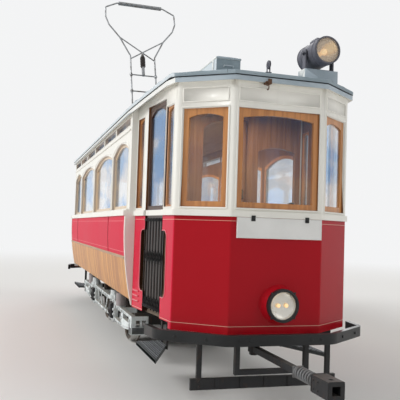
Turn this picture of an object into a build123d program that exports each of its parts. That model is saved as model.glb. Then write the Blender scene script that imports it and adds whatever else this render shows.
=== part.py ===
from build123d import *
import math
import os

os.makedirs("parts", exist_ok=True)

# A double-ended, four-wheel tram in millimetres. Z is up and zero at the flange tips, Y runs
# along the car with the front end at minus Y, and the origin is at the middle of the car.

# Wheelsets
wheelbase = 1830
tread_dia = 760
flange_height = 20
flange_width = 28
back_to_back = 930
tyre_width = 110
tyre_depth = 62
web_thick = 24
hub_dia = 210
hub_length = 150
axle_dia = 120
journal_dia = 86
journal_reach = 772
bearing_play = 2

# Truck
frame_x = 735
frame_thick = 50
frame_top = 545
frame_beam = 45
tie_z = 300
tie_depth = 30
pedestal_width = 50
axlebox_width = 200
axlebox_height = 190
axlebox_depth = 110
strut_width = 34
strut_plate = 14
spring_seat_height = 105
spring_seat_length = 300
spring_dia = 112
transom_depth = 60
transom_reach = 565
arm_slope = 235
arm_depth = 45
arm_spring_gap = 4
end_box_gap = 80
end_box_inset = 580
end_box_top = 500
end_box_sweep = 65
end_light_inner = 120
end_light_outer = 170
end_light_rim = 32
end_light_height = 60
apron_length = 140
apron_width = 135
apron_height = 85
apron_wall = 8
apron_post = 22

# Underframe and floors
sole_width = 90
sole_depth = 95
sole_bottom = 745
cross_width = 80
saloon_floor_thick = 40
platform_floor_top = 720
platform_floor_thick = 40
bearer_x = 300
bearer_width = 70
bearer_bottom = 590

# Body plan
saloon_half = 2800
platform_length = 1095
end_depth = 295
body_half = 1000
upper_half = 965
root_half = 912
corner_half = 786
face_half = 396
corner_round = 34
platform_wall = 50
side_lining = 75
upper_wall = 55

# Body heights
skirt_bottom = 753
waist_z = 1157
belt_bottom = 1567
belt_top = 1616
belt_proud = 18
dash_bottom = 641
side_sheet_bottom = 690
skirt_inset = 78
waist_inset = 14
lining_taper = 55
end_post = 40
end_post_proud = 4
end_post_bottom = 700
riser_thick = 6

# Roof
crown_z = 2980
eave_drop = 320
roof_thick = 40
cornice_depth = 40
cornice_lip = 8
roof_overhang = 45
end_drop = 250
end_run = 1260

# Saloon windows and top lights
window_bottom = 1640
window_top = 2335
window_rise = 95
window_post = 84
end_pier = 104
wide_window = 1590
sash_border = 34
sash_thick = 30
glass_thick = 6
top_light_bottom = 2470
top_light_top = 2545
top_light_count = 6
top_light_end = 25
top_light_bar = 60

# Platform windows
front_window_half = 356
front_window_bottom = 1640
front_window_top = 2443
front_border = 46
arch_rise = 30
facet_post = 51
side_light_top = 2500
fascia_bottom = 2495
fascia_top = 2608
fascia_depth = 6

# Entrances, measured along the platform side from its outer corner
door_start = 270
door_end = 745
door_top = 2575
door_gap = 6
door_recess = 14
door_thick = 32
stile = 38
niche_width = 112
niche_bottom = 870
niche_top = 1440
niche_round = 60
grab_offset = 36
strip_start = 75
narrow_start = 850
narrow_end = 1040
grab_dia = 26

# Lattice gates
gate_bottom = 735
gate_top = 1545
gate_bar = 14
gate_bar_depth = 5
gate_bars = 7
gate_link = 9
gate_rows = (790, 1200)
gate_link_rise = 110

# Bulkheads and their sliding doors
bulkhead_thick = 45
bulkhead_opening = 520
bulkhead_headroom = 290
sliding_width = 560
sliding_rail = 40
sliding_thick = 32
sliding_gap = 8
sliding_stile = 70

# Furniture
bench_end_gap = 250
bench_height = 430
bench_depth = 420
bench_back = 240
bench_feet = 7
slat = 60
slat_gap = 14
slat_thick = 22
controller_dia = 270
controller_height = 930
controller_x = 300
controller_inset = 340
brake_height = 980
brake_wheel_dia = 380

# Ends
bumper_gap = 110
bumper_thick = 42
bumper_bottom = 575
bumper_top = 660
bumper_return = 190
coupler_pin_inset = 430
coupler_z = 445
coupler_bar = 50
coupler_overhang = 1000
coupler_head = 118
coupler_head_length = 230
coupler_mouth = 62
coupler_mouth_depth = 150
coupler_bolt_dia = 34
coupler_pin = 100
coupler_play = 2
stirrup_half = 320
stirrup_bar = 40
stirrup_bottom = 360
stirrup_inset = 40
guard_inset = 190
guard_half = 640
guard_bottom = 180
guard_depth = 90
guard_hanger_x = 550
guard_hanger_width = 40
guard_thick = 30
lamp_x = 30
lamp_z = 876
lamp_base_dia = 320
lamp_ring_dia = 266
lamp_lens_dia = 222
lamp_seat = 60
lamp_proud = 100
lamp_lens_depth = 30
board_left = -350
board_right = 390
board_bottom = 1400
board_thick = 16
step_top = 335
step_thick = 30
step_inner = 580
step_outer = 830
step_lap = 60
step_length = 860

# Roof gear
box_overhang = 60
box_length = 1650
box_half = 130
box_top = 3220
hinge_y = 1230
hinge_z = 3110
hinge_dia = 40
bow_slope = 0.41
bow_tube = 26
bow_stay = 22
bow_bend = 45
strut_thick = 42
upright_half = 214
upright_top = 4370
bow_knot = 4470
bow_join = (392, 4776)
bow_elbow = (575, 5010)
bow_side = (632, 5170)
bow_corner = (628, 5370)
bow_top = 5480
strip_half = 420
strip_width = 60
strip_thick = 34
rung_heights = (3755, 4065)
rung_half = 240
search_x = 520
search_inset = 370
search_z = 3057
drum_dia = 240
drum_length = 360
drum_wall = 10
lens_depth = 12
foot_half = 160
foot_depth = 140
foot_top = 2905
pivot_dia = 60
pivot_depth = 20
yoke_width = 60
yoke_thick = 12
yoke_gap = 8
trunnion_dia = 28

# Heights and places that follow from the sizes above
corner_y = saloon_half + platform_length
face_y = corner_y + end_depth
transom_y = wheelbase / 2 + transom_reach
arm_spring_y = transom_y - (transom_depth + spring_dia) / 2 - arm_spring_gap
end_box_inner = transom_y + end_box_gap
end_box_outer = saloon_half - end_box_inset
bulkhead_head = crown_z - roof_thick - bulkhead_headroom
box_front = saloon_half + box_overhang
narrow_window = saloon_half - end_pier - wide_window - 1.5 * window_post
top_light_pitch = 2 * (saloon_half - top_light_end) / top_light_count
bench_length = 2 * (saloon_half - bench_end_gap)
coupler_pin_y = face_y - coupler_pin_inset
coupler_reach = face_y + coupler_overhang
stirrup_y = face_y - stirrup_inset
guard_y = face_y - guard_inset
step_start = saloon_half - step_lap
step_end = step_start + step_length
search_y = face_y - search_inset
axle_z = tread_dia / 2 + flange_height
wheel_inner = back_to_back / 2
saloon_floor_bottom = sole_bottom + sole_depth
saloon_floor_top = saloon_floor_bottom + saloon_floor_thick
platform_floor_bottom = platform_floor_top - platform_floor_thick
lining_x = body_half - side_lining
upper_inner = upper_half - upper_wall
vault_radius = (upper_half**2 + eave_drop**2) / (2 * eave_drop)
hip_radius = (end_run**2 + end_drop**2) / (2 * end_drop)
hip_start = face_y + roof_overhang - end_run

front_plan = [
    (-root_half, -saloon_half),
    (-corner_half, -corner_y),
    (-face_half, -face_y),
    (face_half, -face_y),
    (corner_half, -corner_y),
    (root_half, -saloon_half),
]


def inset_plan(inset, root_inset=0):
    """Corner points of the front platform's plan, its five outer walls moved inward by inset."""
    count = len(front_plan)
    edges = []
    for i in range(count):
        (ax, ay), (bx, by) = front_plan[i], front_plan[(i + 1) % count]
        length = math.hypot(bx - ax, by - ay)
        amount = root_inset if i == count - 1 else inset
        nx, ny = -(by - ay) / length, (bx - ax) / length
        edges.append((ax + nx * amount, ay + ny * amount, bx - ax, by - ay))
    points = []
    for i in range(count):
        px, py, dx, dy = edges[i - 1]
        qx, qy, ex, ey = edges[i]
        t = ((qx - px) * ey - (qy - py) * ex) / (dx * ey - dy * ex)
        points.append((px + t * dx, py + t * dy))
    return points


def platform_plan(end, inset, root_inset=0):
    """The same corners for the front end, -1, or the rear end, 1."""
    return [(x, -end * y) for x, y in inset_plan(inset, root_inset)]


def platform_ring(end, outer, inner):
    """In an open sketch, the plan of a wall between two insets, from the end posts outward."""
    with BuildSketch() as ring:
        with BuildLine():
            Polyline(*platform_plan(end, outer, end_post), close=True)
        make_face()
        outward = ring.vertices().sort_by(Axis.Y)[:4] if end < 0 else ring.vertices().sort_by(Axis.Y)[-4:]
        fillet(outward, corner_round - outer)
        with BuildLine():
            Polyline(*platform_plan(end, inner, -end_post), close=True)
        make_face(mode=Mode.SUBTRACT)
    add(ring.sketch)


def wall_plane(end, hand, face, depth):
    """A plane in a platform wall: local X runs along the wall, local Y is up.

    Its origin is at the wall's outer corner, or at the middle of the front wall.
    """
    if face == "front":
        return Plane(origin=(0, end * (face_y - depth), 0), x_dir=(-end, 0, 0), z_dir=(0, end, 0))
    corner = (hand * corner_half, end * corner_y)
    far = {
        "side": (hand * root_half, end * saloon_half),
        "facet": (hand * face_half, end * face_y),
    }[face]
    dx, dy = far[0] - corner[0], far[1] - corner[1]
    length = math.hypot(dx, dy)
    dx, dy = dx / length, dy / length
    inward = (dy, -dx) if (dy * hand) < 0 else (-dy, dx)
    if inward[0] * corner[0] + inward[1] * corner[1] > 0:
        inward = (-inward[0], -inward[1])
    origin = (corner[0] + inward[0] * depth, corner[1] + inward[1] * depth, 0)
    return Plane(origin=origin, x_dir=(dx, dy, 0), z_dir=(dy, -dx, 0))


def arched(start, end, bottom, spring, rise, mode=Mode.ADD):
    """In an open sketch, an upright opening with a segmental arch over it."""
    with BuildSketch() as opening:
        with BuildLine():
            Polyline((start, spring), (start, bottom), (end, bottom), (end, spring))
            ThreePointArc((end, spring), ((start + end) / 2, spring + rise), (start, spring))
        make_face()
    add(opening.sketch, mode=mode)


def upright(start, end, bottom, top, mode=Mode.ADD):
    """In an open sketch, a plain upright rectangle."""
    with Locations(((start + end) / 2, (bottom + top) / 2)):
        Rectangle(abs(end - start), top - bottom, mode=mode)


def lamp_plane(end, proud):
    """A plane in front of a dash, square to the car, at the middle of its headlight."""
    return Plane(
        origin=(-end * lamp_x, end * (face_y + proud), lamp_z), x_dir=(1, 0, 0), z_dir=(0, end, 0)
    )


def bar(low, high, mode=Mode.ADD):
    """In an open part, a square-edged bar between two opposite corners."""
    size = [high[i] - low[i] for i in range(3)]
    middle = [(high[i] + low[i]) / 2 for i in range(3)]
    with Locations(tuple(middle)):
        Box(*size, mode=mode)


def finish_piece(piece, label):
    """Name a finished piece and write it out."""
    piece.part.label = label
    export_step(piece.part, "parts/" + label + ".step")


facet_length = math.hypot(corner_half - face_half, face_y - corner_y)
side_length = math.hypot(root_half - corner_half, corner_y - saloon_half)
ends = (("front", -1), ("rear", 1))
hands = (("right", -1), ("left", 1))


# Space under the roof boards: a cross vault of one arc, rounded down towards both ends.
def roof_space(drop):
    """The solid below the roof's top surface, lowered by drop."""
    with BuildPart() as space:
        with BuildSketch(Plane.XZ):
            with BuildLine():
                wide = upper_half * 1.25
                wide_z = crown_z - drop - (vault_radius - math.sqrt(vault_radius**2 - wide**2))
                ThreePointArc((-wide, wide_z), (0, crown_z - drop), (wide, wide_z))
                Polyline((wide, wide_z), (wide, 0), (-wide, 0), (-wide, wide_z))
            make_face()
        extrude(amount=face_y + roof_overhang + 200, both=True)
        with BuildSketch(Plane.YZ):
            with BuildLine():
                tail = end_run * 1.15
                tail_z = crown_z - drop - (hip_radius - math.sqrt(hip_radius**2 - tail**2))
                mid = end_run * 0.6
                mid_z = crown_z - drop - (hip_radius - math.sqrt(hip_radius**2 - mid**2))
                Line((-hip_start, crown_z - drop), (hip_start, crown_z - drop))
                for side in (-1, 1):
                    ThreePointArc(
                        (side * hip_start, crown_z - drop),
                        (side * (hip_start + mid), mid_z),
                        (side * (hip_start + tail), tail_z),
                    )
                Polyline(
                    (-hip_start - tail, tail_z),
                    (-hip_start - tail, 0),
                    (hip_start + tail, 0),
                    (hip_start + tail, tail_z),
                )
            make_face()
        extrude(amount=2 * upper_half, both=True, mode=Mode.INTERSECT)
    return space.part


under_roof = roof_space(roof_thick)
under_cornice = roof_space(roof_thick + cornice_depth)
roof_base = crown_z - eave_drop - roof_thick - cornice_depth - 60


# Wheelsets: two tyred disc wheels pressed on one axle, journals outside the wheels.
for name, end in ends:
    with BuildPart() as wheelset:
        with BuildSketch(Plane.XZ.offset(0)) as wheel_section:
            with BuildLine():
                tread = tread_dia / 2
                rim = tread - tyre_depth
                x0 = wheel_inner
                x1 = wheel_inner + tyre_width
                web0 = x0 + (tyre_width - web_thick) / 2
                hub0 = web0 + (web_thick - hub_length) / 2
                Polyline(
                    (0, 0),
                    (0, axle_dia / 2),
                    (hub0, axle_dia / 2),
                    (hub0, hub_dia / 2),
                    (web0, hub_dia / 2 + 20),
                    (web0, rim),
                    (x0, rim),
                    (x0, tread + flange_height - 8),
                    (x0 + 8, tread + flange_height),
                    (x0 + flange_width - 8, tread + flange_height - 4),
                    (x0 + flange_width, tread),
                    (x1, tread - 4),
                    (x1, rim),
                    (web0 + web_thick, rim),
                    (web0 + web_thick, hub_dia / 2 + 20),
                    (hub0 + hub_length, hub_dia / 2),
                    (hub0 + hub_length, journal_dia / 2),
                    (journal_reach, journal_dia / 2),
                    (journal_reach, 0),
                    close=True,
                )
            make_face()
            mirror(about=Plane.YZ)
        revolve(axis=Axis.X)
    wheelset.part.position = (0, end * wheelbase / 2, axle_z)
    finish_piece(wheelset, "wheelset_" + name)


# Truck: two plate side frames with pedestals, braced by a lower tie, joined by transoms.
pedestal_y = (axlebox_width + pedestal_width) / 2
axlebox_bottom = axle_z - axlebox_height / 2
beam_bottom = frame_top - frame_beam
beam_half = wheelbase / 2 + pedestal_y + pedestal_width / 2
tie_half = wheelbase / 2 - pedestal_y
arm_flat = beam_half + arm_slope
with BuildPart() as truck_frame:
    for end in (-1, 1):
        y0, y1 = sorted((end * (end_box_outer - apron_length), end * end_box_outer))
        x0, x1 = frame_x - apron_width, frame_x + frame_thick
        bar((x0, y0, tie_z), (x1, y1, tie_z + apron_height))
        bar(
            (x0 + apron_wall, y0 + apron_wall, tie_z + apron_wall),
            (x1 - apron_wall, y1 - apron_wall, tie_z + apron_height),
            mode=Mode.SUBTRACT,
        )
        y0, y1 = sorted((end * (end_box_outer - apron_post), end * end_box_outer))
        bar((x0, y0, end_box_top - arm_depth), (frame_x + 5, y1, end_box_top))
        for post_x in (x0, frame_x - apron_width / 2):
            bar((post_x, y0, tie_z + apron_wall), (post_x + apron_post, y1, end_box_top - arm_depth))
    with BuildSketch(Plane.YZ.offset(frame_x + (frame_thick - strut_plate) / 2)):
        for end in (-1, 1):
            for place in (0.22, 0.58):
                foot = end * tie_half * place
                head = end * tie_half * (place + 0.2)
                with BuildLine():
                    Polyline(
                        (foot - strut_width / 2, tie_z + tie_depth / 2),
                        (foot + strut_width / 2, tie_z + tie_depth / 2),
                        (head + strut_width / 2, frame_top - frame_beam / 2),
                        (head - strut_width / 2, frame_top - frame_beam / 2),
                        close=True,
                    )
                make_face()
    extrude(amount=strut_plate)
    with BuildSketch(Plane.YZ.offset(frame_x)):
        upright(-beam_half, beam_half, beam_bottom, frame_top)
        upright(-tie_half, tie_half, tie_z, tie_z + tie_depth)
        for end in (-1, 1):
            middle = end * wheelbase / 2
            for side in (-1, 1):
                leg = middle + side * pedestal_y
                upright(leg - pedestal_width / 2, leg + pedestal_width / 2, tie_z, frame_top)
            upright(
                middle - pedestal_y - pedestal_width / 2,
                middle + pedestal_y + pedestal_width / 2,
                tie_z - tie_depth,
                tie_z,
            )
            arm_start = beam_half - 5
            with BuildLine():
                Polyline(
                    (end * end_box_inner, tie_z),
                    (end * arm_start, tie_z),
                    (end * arm_start, frame_top),
                    (end * beam_half, frame_top),
                    (end * arm_flat, end_box_top),
                    (end * end_box_outer, end_box_top),
                    (end * end_box_outer, tie_z + end_box_sweep),
                )
                TangentArc(
                    (end * end_box_inner, tie_z),
                    (end * end_box_outer, tie_z + end_box_sweep),
                    tangent=(end, 0),
                )
            make_face()
            with BuildLine():
                Polyline(
                    (end * beam_half, tie_z + tie_depth),
                    (end * end_box_inner, tie_z + tie_depth),
                    (end * end_box_inner, end_box_top - arm_depth),
                    (end * arm_flat, end_box_top - arm_depth),
                    (end * beam_half, frame_top - arm_depth),
                    close=True,
                )
            make_face(mode=Mode.SUBTRACT)
            upright(
                end * (end_box_inner + end_light_inner),
                end * (end_box_outer - end_light_outer),
                end_box_top - end_light_rim - end_light_height,
                end_box_top - end_light_rim,
                mode=Mode.SUBTRACT,
            )
    extrude(amount=frame_thick)
    mirror(about=Plane.YZ)
    for y, high in (
        (-transom_y, end_box_top),
        (-transom_depth, frame_top),
        (transom_depth, frame_top),
        (transom_y, end_box_top),
    ):
        bar(
            (-frame_x, y - transom_depth / 2, high - transom_depth),
            (frame_x, y + transom_depth / 2, high),
        )
finish_piece(truck_frame, "truck_frame")

# Axleboxes with blind bores for the journals, and the seats and coil springs over them.
spring_bottom = frame_top + spring_seat_height
with BuildPart() as axleboxes:
    for end in (-1, 1):
        for hand in (-1, 1):
            inner = frame_x - 30
            bar(
                (
                    min(hand * inner, hand * (inner + axlebox_depth)),
                    end * wheelbase / 2 - axlebox_width / 2,
                    axlebox_bottom,
                ),
                (
                    max(hand * inner, hand * (inner + axlebox_depth)),
                    end * wheelbase / 2 + axlebox_width / 2,
                    axlebox_bottom + axlebox_height,
                ),
            )
    for end in (-1, 1):
        with BuildSketch(Plane.YZ):
            with Locations((end * wheelbase / 2, axle_z)):
                Circle(journal_dia / 2 + bearing_play)
        extrude(amount=journal_reach + bearing_play, both=True, mode=Mode.SUBTRACT)
finish_piece(axleboxes, "axleboxes")

with BuildPart() as springs:
    for end in (-1, 1):
        for hand in (-1, 1):
            middle_x = hand * (frame_x + frame_thick / 2)
            middle_y = end * wheelbase / 2
            bar(
                (
                    middle_x - frame_thick / 2,
                    middle_y - spring_seat_length / 2,
                    frame_top,
                ),
                (
                    middle_x + frame_thick / 2,
                    middle_y + spring_seat_length / 2,
                    spring_bottom,
                ),
            )
            with BuildSketch(Plane.XY.offset(spring_bottom)):
                with Locations((middle_x, middle_y)):
                    Circle(spring_dia / 2)
            extrude(amount=sole_bottom - spring_bottom)
            with BuildSketch(Plane.XY.offset(end_box_top)):
                with Locations((middle_x, end * arm_spring_y)):
                    Circle(spring_dia / 2)
            extrude(amount=sole_bottom - end_box_top)
finish_piece(springs, "springs")

# Traction motors hung between each axle and the middle transoms.
motor_gap = 8
motor_half = 290
motor_bottom = 190
motor_top = 610
with BuildPart() as motors:
    for end in (-1, 1):
        near = 1.5 * transom_depth
        far = wheelbase / 2 - axle_dia / 2 - motor_gap
        bar(
            (-motor_half, min(end * near, end * far), motor_bottom),
            (motor_half, max(end * near, end * far), motor_top),
        )
finish_piece(motors, "motors")

# Brake blocks on the outer side of each wheel, hung from the end transoms.
block_gap = 8
block_thick = 45
block_width = 70
block_half_angle = 16


def rim_point(end, radius, angle):
    """A point round an axle, seen from the side, its angle from the end of the car upwards."""
    a = math.radians(angle)
    return (end * (wheelbase / 2 + radius * math.cos(a)), axle_z + radius * math.sin(a))


with BuildPart() as brakes:
    for end in (-1, 1):
        for hand in (-1, 1):
            x0 = hand * (wheel_inner + tyre_width - block_width)
            x1 = hand * (wheel_inner + tyre_width)
            with BuildSketch(Plane.YZ.offset(min(x0, x1))):
                inner = tread_dia / 2 + block_gap
                outer = inner + block_thick
                low, high = -block_half_angle, block_half_angle
                with BuildLine():
                    ThreePointArc(*[rim_point(end, inner, angle) for angle in (low, 0, high)])
                    Line(rim_point(end, inner, high), rim_point(end, outer, high))
                    ThreePointArc(*[rim_point(end, outer, angle) for angle in (high, 0, low)])
                    Line(rim_point(end, outer, low), rim_point(end, inner, low))
                make_face()
            extrude(amount=block_width)
            block_back = wheelbase / 2 + inner + block_thick - 6
            bar(
                (min(x0, x1) + 20, min(end * block_back, end * (block_back + 30)), axle_z - 40),
                (max(x0, x1) - 20, max(end * block_back, end * (block_back + 30)), frame_top),
            )
        bar(
            (-wheel_inner - tyre_width, min(end * (block_back + 4), end * (block_back + 30)), axle_z - 20),
            (wheel_inner + tyre_width, max(end * (block_back + 4), end * (block_back + 30)), axle_z + 20),
        )
finish_piece(brakes, "brake_rigging")


# Underframe: sole bars and cross members under the saloon, dropped bearers under the platforms.
sole_x = frame_x + (frame_thick - sole_width) / 2
bearer_inner = transom_y - cross_width / 2
bumper_inner = face_y + bumper_gap
with BuildPart() as underframe:
    for hand in (-1, 1):
        bar(
            (min(hand * sole_x, hand * (sole_x + sole_width)), -saloon_half, sole_bottom),
            (max(hand * sole_x, hand * (sole_x + sole_width)), saloon_half, saloon_floor_bottom),
        )
    for y in (-saloon_half + cross_width / 2, -transom_y, 0, transom_y, saloon_half - cross_width / 2):
        bar(
            (-sole_x, y - cross_width / 2, sole_bottom),
            (sole_x, y + cross_width / 2, saloon_floor_bottom),
        )
    for end in (-1, 1):
        for hand in (-1, 1):
            x0 = hand * bearer_x - bearer_width / 2
            x1 = hand * bearer_x + bearer_width / 2
            inside = face_y - platform_wall
            bar(
                (x0, min(end * bearer_inner, end * inside), bearer_bottom),
                (x1, max(end * bearer_inner, end * inside), platform_floor_bottom),
            )
            bar(
                (x0, min(end * inside, end * bumper_inner), bearer_bottom),
                (x1, max(end * inside, end * bumper_inner), dash_bottom - 5),
            )
            for y in (transom_y, saloon_half - cross_width / 2):
                bar(
                    (x0, end * y - cross_width / 2, platform_floor_bottom),
                    (x1, end * y + cross_width / 2, sole_bottom),
                )
        head = end * (face_y - platform_wall - cross_width / 2)
        bar(
            (-bearer_x - bearer_width / 2, head - cross_width / 2, bearer_bottom),
            (bearer_x + bearer_width / 2, head + cross_width / 2, platform_floor_bottom),
        )
        guard_beam = guard_hanger_x + guard_hanger_width
        y0, y1 = sorted((end * guard_y, end * (guard_y + guard_thick)))
        bar((-guard_beam, y0, bearer_bottom), (guard_beam, y1, dash_bottom - 5))
        pin = end * coupler_pin_y
        bar(
            (-bearer_x, pin - cross_width / 2, bearer_bottom),
            (bearer_x, pin + cross_width / 2, platform_floor_bottom),
        )
finish_piece(underframe, "underframe")


def lining_at(z):
    """Inner face of the lower side wall at a height."""
    share = (waist_z - z) / (waist_z - skirt_bottom)
    return lining_x - lining_taper * max(0, min(1, share))


# Saloon floor: boards between the side walls, their edges cut to the walls' slope.
with BuildPart() as saloon_floor:
    with BuildSketch(Plane.XZ):
        low_x, high_x = lining_at(saloon_floor_bottom), lining_at(saloon_floor_top)
        with BuildLine():
            Polyline(
                (-low_x, saloon_floor_bottom),
                (low_x, saloon_floor_bottom),
                (high_x, saloon_floor_top),
                (-high_x, saloon_floor_top),
                close=True,
            )
        make_face()
    extrude(amount=saloon_half, both=True)
finish_piece(saloon_floor, "saloon_floor")

# Platform floors, a step lower, and the sheet that closes the step under each bulkhead.
with BuildPart() as platform_floors:
    for end in (-1, 1):
        with BuildSketch(Plane.XY.offset(platform_floor_bottom)):
            with BuildLine():
                Polyline(*platform_plan(end, platform_wall), close=True)
            make_face()
        extrude(amount=platform_floor_thick)
        low, high = sorted((end * saloon_half, end * (saloon_half + riser_thick)))
        riser_half = root_half - platform_wall
        bar((-riser_half, low, platform_floor_bottom), (riser_half, high, saloon_floor_top))
finish_piece(platform_floors, "platform_floors")


def side_arc_x(z):
    """Outer face of the side wall: one arc through the belt, the waist and the skirt's foot."""
    ax, az = body_half, belt_bottom
    bx, bz = body_half - waist_inset, waist_z
    cx, cz = body_half - skirt_inset, skirt_bottom
    d = 2 * (ax * (bz - cz) + bx * (cz - az) + cx * (az - bz))
    a2, b2, c2 = ax**2 + az**2, bx**2 + bz**2, cx**2 + cz**2
    ux = (a2 * (bz - cz) + b2 * (cz - az) + c2 * (az - bz)) / d
    uz = (a2 * (cx - bx) + b2 * (ax - cx) + c2 * (bx - ax)) / d
    radius = math.hypot(ax - ux, az - uz)
    return ux + math.sqrt(radius**2 - (z - uz) ** 2)


# Side walls: a red waist panel over a skirt of upright boards, both bowed in towards the foot.
for label, low, high in (
    ("side_panels", waist_z, belt_bottom),
    ("skirt_boards", skirt_bottom, waist_z),
):
    with BuildPart() as walls:
        with BuildSketch(Plane.XZ):
            middle_z = (low + high) / 2
            for hand in (-1, 1):
                with BuildLine():
                    ThreePointArc(
                        (hand * side_arc_x(low), low),
                        (hand * side_arc_x(middle_z), middle_z),
                        (hand * side_arc_x(high), high),
                    )
                    Polyline(
                        (hand * side_arc_x(high), high),
                        (hand * lining_at(high), high),
                        (hand * lining_at(low), low),
                        (hand * side_arc_x(low), low),
                    )
                make_face()
        extrude(amount=saloon_half, both=True)
    finish_piece(walls, label)

# End posts: cream posts that close the corners of the saloon, following the side's bow.
with BuildPart() as end_posts:
    for hand in (-1, 1):
        with BuildSketch(Plane.XZ):
            inner = hand * (root_half - platform_wall)
            middle_z = (skirt_bottom + belt_bottom) / 2
            proud = hand * end_post_proud
            with BuildLine():
                ThreePointArc(
                    (hand * side_arc_x(end_post_bottom) + proud, end_post_bottom),
                    (hand * side_arc_x(middle_z) + proud, middle_z),
                    (hand * side_arc_x(belt_bottom) + proud, belt_bottom),
                )
                Polyline(
                    (hand * body_half + proud, belt_bottom),
                    (hand * (body_half + belt_proud) + proud, belt_bottom),
                    (hand * (body_half + belt_proud) + proud, belt_top),
                    (hand * upper_half, belt_top),
                    (hand * upper_half, crown_z),
                    (inner, crown_z),
                    (inner, end_post_bottom),
                    (hand * side_arc_x(end_post_bottom) + proud, end_post_bottom),
                )
            make_face()
        extrude(amount=saloon_half + end_post, both=True)
    with BuildSketch(Plane.XY):
        Rectangle(4 * body_half, 2 * saloon_half)
    extrude(amount=2 * crown_z, mode=Mode.SUBTRACT)
    with BuildSketch(Plane.XY.offset(platform_floor_bottom)):
        Rectangle(2 * (root_half - platform_wall), 4 * saloon_half)
    extrude(amount=crown_z, mode=Mode.SUBTRACT)
    add(under_roof, mode=Mode.INTERSECT)
finish_piece(end_posts, "end_posts")

# Belt rail: one moulded rail round the body at the foot of the windows, open at the entrances.
with BuildPart() as belt_rail:
    for hand in (-1, 1):
        bar(
            (min(hand * upper_inner, hand * (body_half + belt_proud)), -saloon_half, belt_bottom),
            (max(hand * upper_inner, hand * (body_half + belt_proud)), saloon_half, belt_top),
        )
    for end in (-1, 1):
        with BuildSketch(Plane.XY.offset(belt_bottom)):
            platform_ring(end, -belt_proud, platform_wall)
        extrude(amount=belt_top - belt_bottom)
        for hand in (-1, 1):
            with BuildSketch(wall_plane(end, hand, "side", 0)):
                upright(door_start, door_end, belt_bottom - 1, belt_top + 1)
            extrude(amount=3 * platform_wall, both=True, mode=Mode.SUBTRACT)
finish_piece(belt_rail, "belt_rail")

# Window openings of one saloon side, by their middles and widths along the car.
window_row = []
edge = 0
for width in (wide_window, narrow_window):
    window_row.append((edge + window_post / 2 + width / 2, width))
    edge += window_post + width
window_places = [(sign * middle, width) for middle, width in window_row for sign in (-1, 1)]
top_light_places = [
    (i - (top_light_count - 1) / 2) * top_light_pitch for i in range(top_light_count)
]
sash_x = upper_inner + sash_thick / 2

# Upper saloon walls: posts, window heads and the letter rail, with the top lights above it.
with BuildPart() as window_walls:
    for hand in (-1, 1):
        low, high = sorted((hand * upper_half, hand * upper_inner))
        bar((low, -saloon_half, belt_top), (high, saloon_half, crown_z))
    with BuildSketch(Plane.YZ):
        for middle, width in window_places:
            arched(
                middle - width / 2,
                middle + width / 2,
                window_bottom,
                window_top - window_rise,
                window_rise,
            )
        for middle in top_light_places:
            half = (top_light_pitch - top_light_bar) / 2
            upright(middle - half, middle + half, top_light_bottom, top_light_top)
    extrude(amount=body_half, both=True, mode=Mode.SUBTRACT)
    add(under_roof, mode=Mode.INTERSECT)
finish_piece(window_walls, "window_walls")

def door_cut(end, hand):
    """In an open part, cut one entrance and the hand niches beside it."""
    with BuildSketch(wall_plane(end, hand, "side", 0)) as entrance:
        upright(door_start, door_end, dash_bottom - 10, door_top)
        with Locations(((door_start + door_end) / 2, (niche_bottom + niche_top) / 2)):
            RectangleRounded(
                door_end - door_start + 2 * niche_width, niche_top - niche_bottom, niche_round
            )
    extrude(entrance.sketch, amount=2 * platform_wall, both=True, mode=Mode.SUBTRACT)


# Dashes: five-sided steel-clad ends of the platforms, with the entrances cut in their sides.
for name, end in ends:
    with BuildPart() as dash:
        with BuildSketch(Plane.XY.offset(dash_bottom)):
            platform_ring(end, 0, platform_wall)
        extrude(amount=belt_bottom - dash_bottom)
        for hand in (-1, 1):
            with BuildSketch(wall_plane(end, hand, "side", 0)):
                upright(60, side_length + 100, dash_bottom - 10, side_sheet_bottom)
            extrude(amount=2 * platform_wall, both=True, mode=Mode.SUBTRACT)
            door_cut(end, hand)
        with BuildSketch(lamp_plane(end, 0)):
            Circle(lamp_base_dia / 2)
        with BuildSketch(lamp_plane(end, lamp_seat)):
            Circle(lamp_ring_dia / 2)
        loft()
    finish_piece(dash, "dash_" + name)

# Upper end frames: cream pillars and fascia round the platforms, with the windows cut out.
for name, end in ends:
    with BuildPart() as vestibule:
        with BuildSketch(Plane.XY.offset(belt_top)):
            platform_ring(end, 0, platform_wall)
        extrude(amount=crown_z - belt_top)
        with BuildSketch(wall_plane(end, 1, "front", 0)):
            upright(-front_window_half, front_window_half, front_window_bottom, front_window_top)
        extrude(amount=2 * platform_wall, both=True, mode=Mode.SUBTRACT)
        for hand in (-1, 1):
            with BuildSketch(wall_plane(end, hand, "facet", 0)):
                upright(facet_post, facet_length - facet_post, front_window_bottom, front_window_top)
            extrude(amount=2 * platform_wall, both=True, mode=Mode.SUBTRACT)
            with BuildSketch(wall_plane(end, hand, "side", 0)):
                upright(door_start, door_end, belt_top - 10, door_top)
                upright(strip_start, door_start, front_window_bottom, side_light_top)
                upright(narrow_start, narrow_end, front_window_bottom, side_light_top)
            extrude(amount=1.5 * platform_wall, both=True, mode=Mode.SUBTRACT)
            with BuildSketch(wall_plane(end, hand, "facet", 0)):
                upright(facet_post, facet_length - facet_post, fascia_bottom, fascia_top)
            extrude(amount=fascia_depth, both=True, mode=Mode.SUBTRACT)
        with BuildSketch(wall_plane(end, 1, "front", 0)):
            upright(-front_window_half, front_window_half, fascia_bottom, fascia_top)
        extrude(amount=fascia_depth, both=True, mode=Mode.SUBTRACT)
        add(under_roof, mode=Mode.INTERSECT)
    finish_piece(vestibule, "vestibule_" + name)

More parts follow.
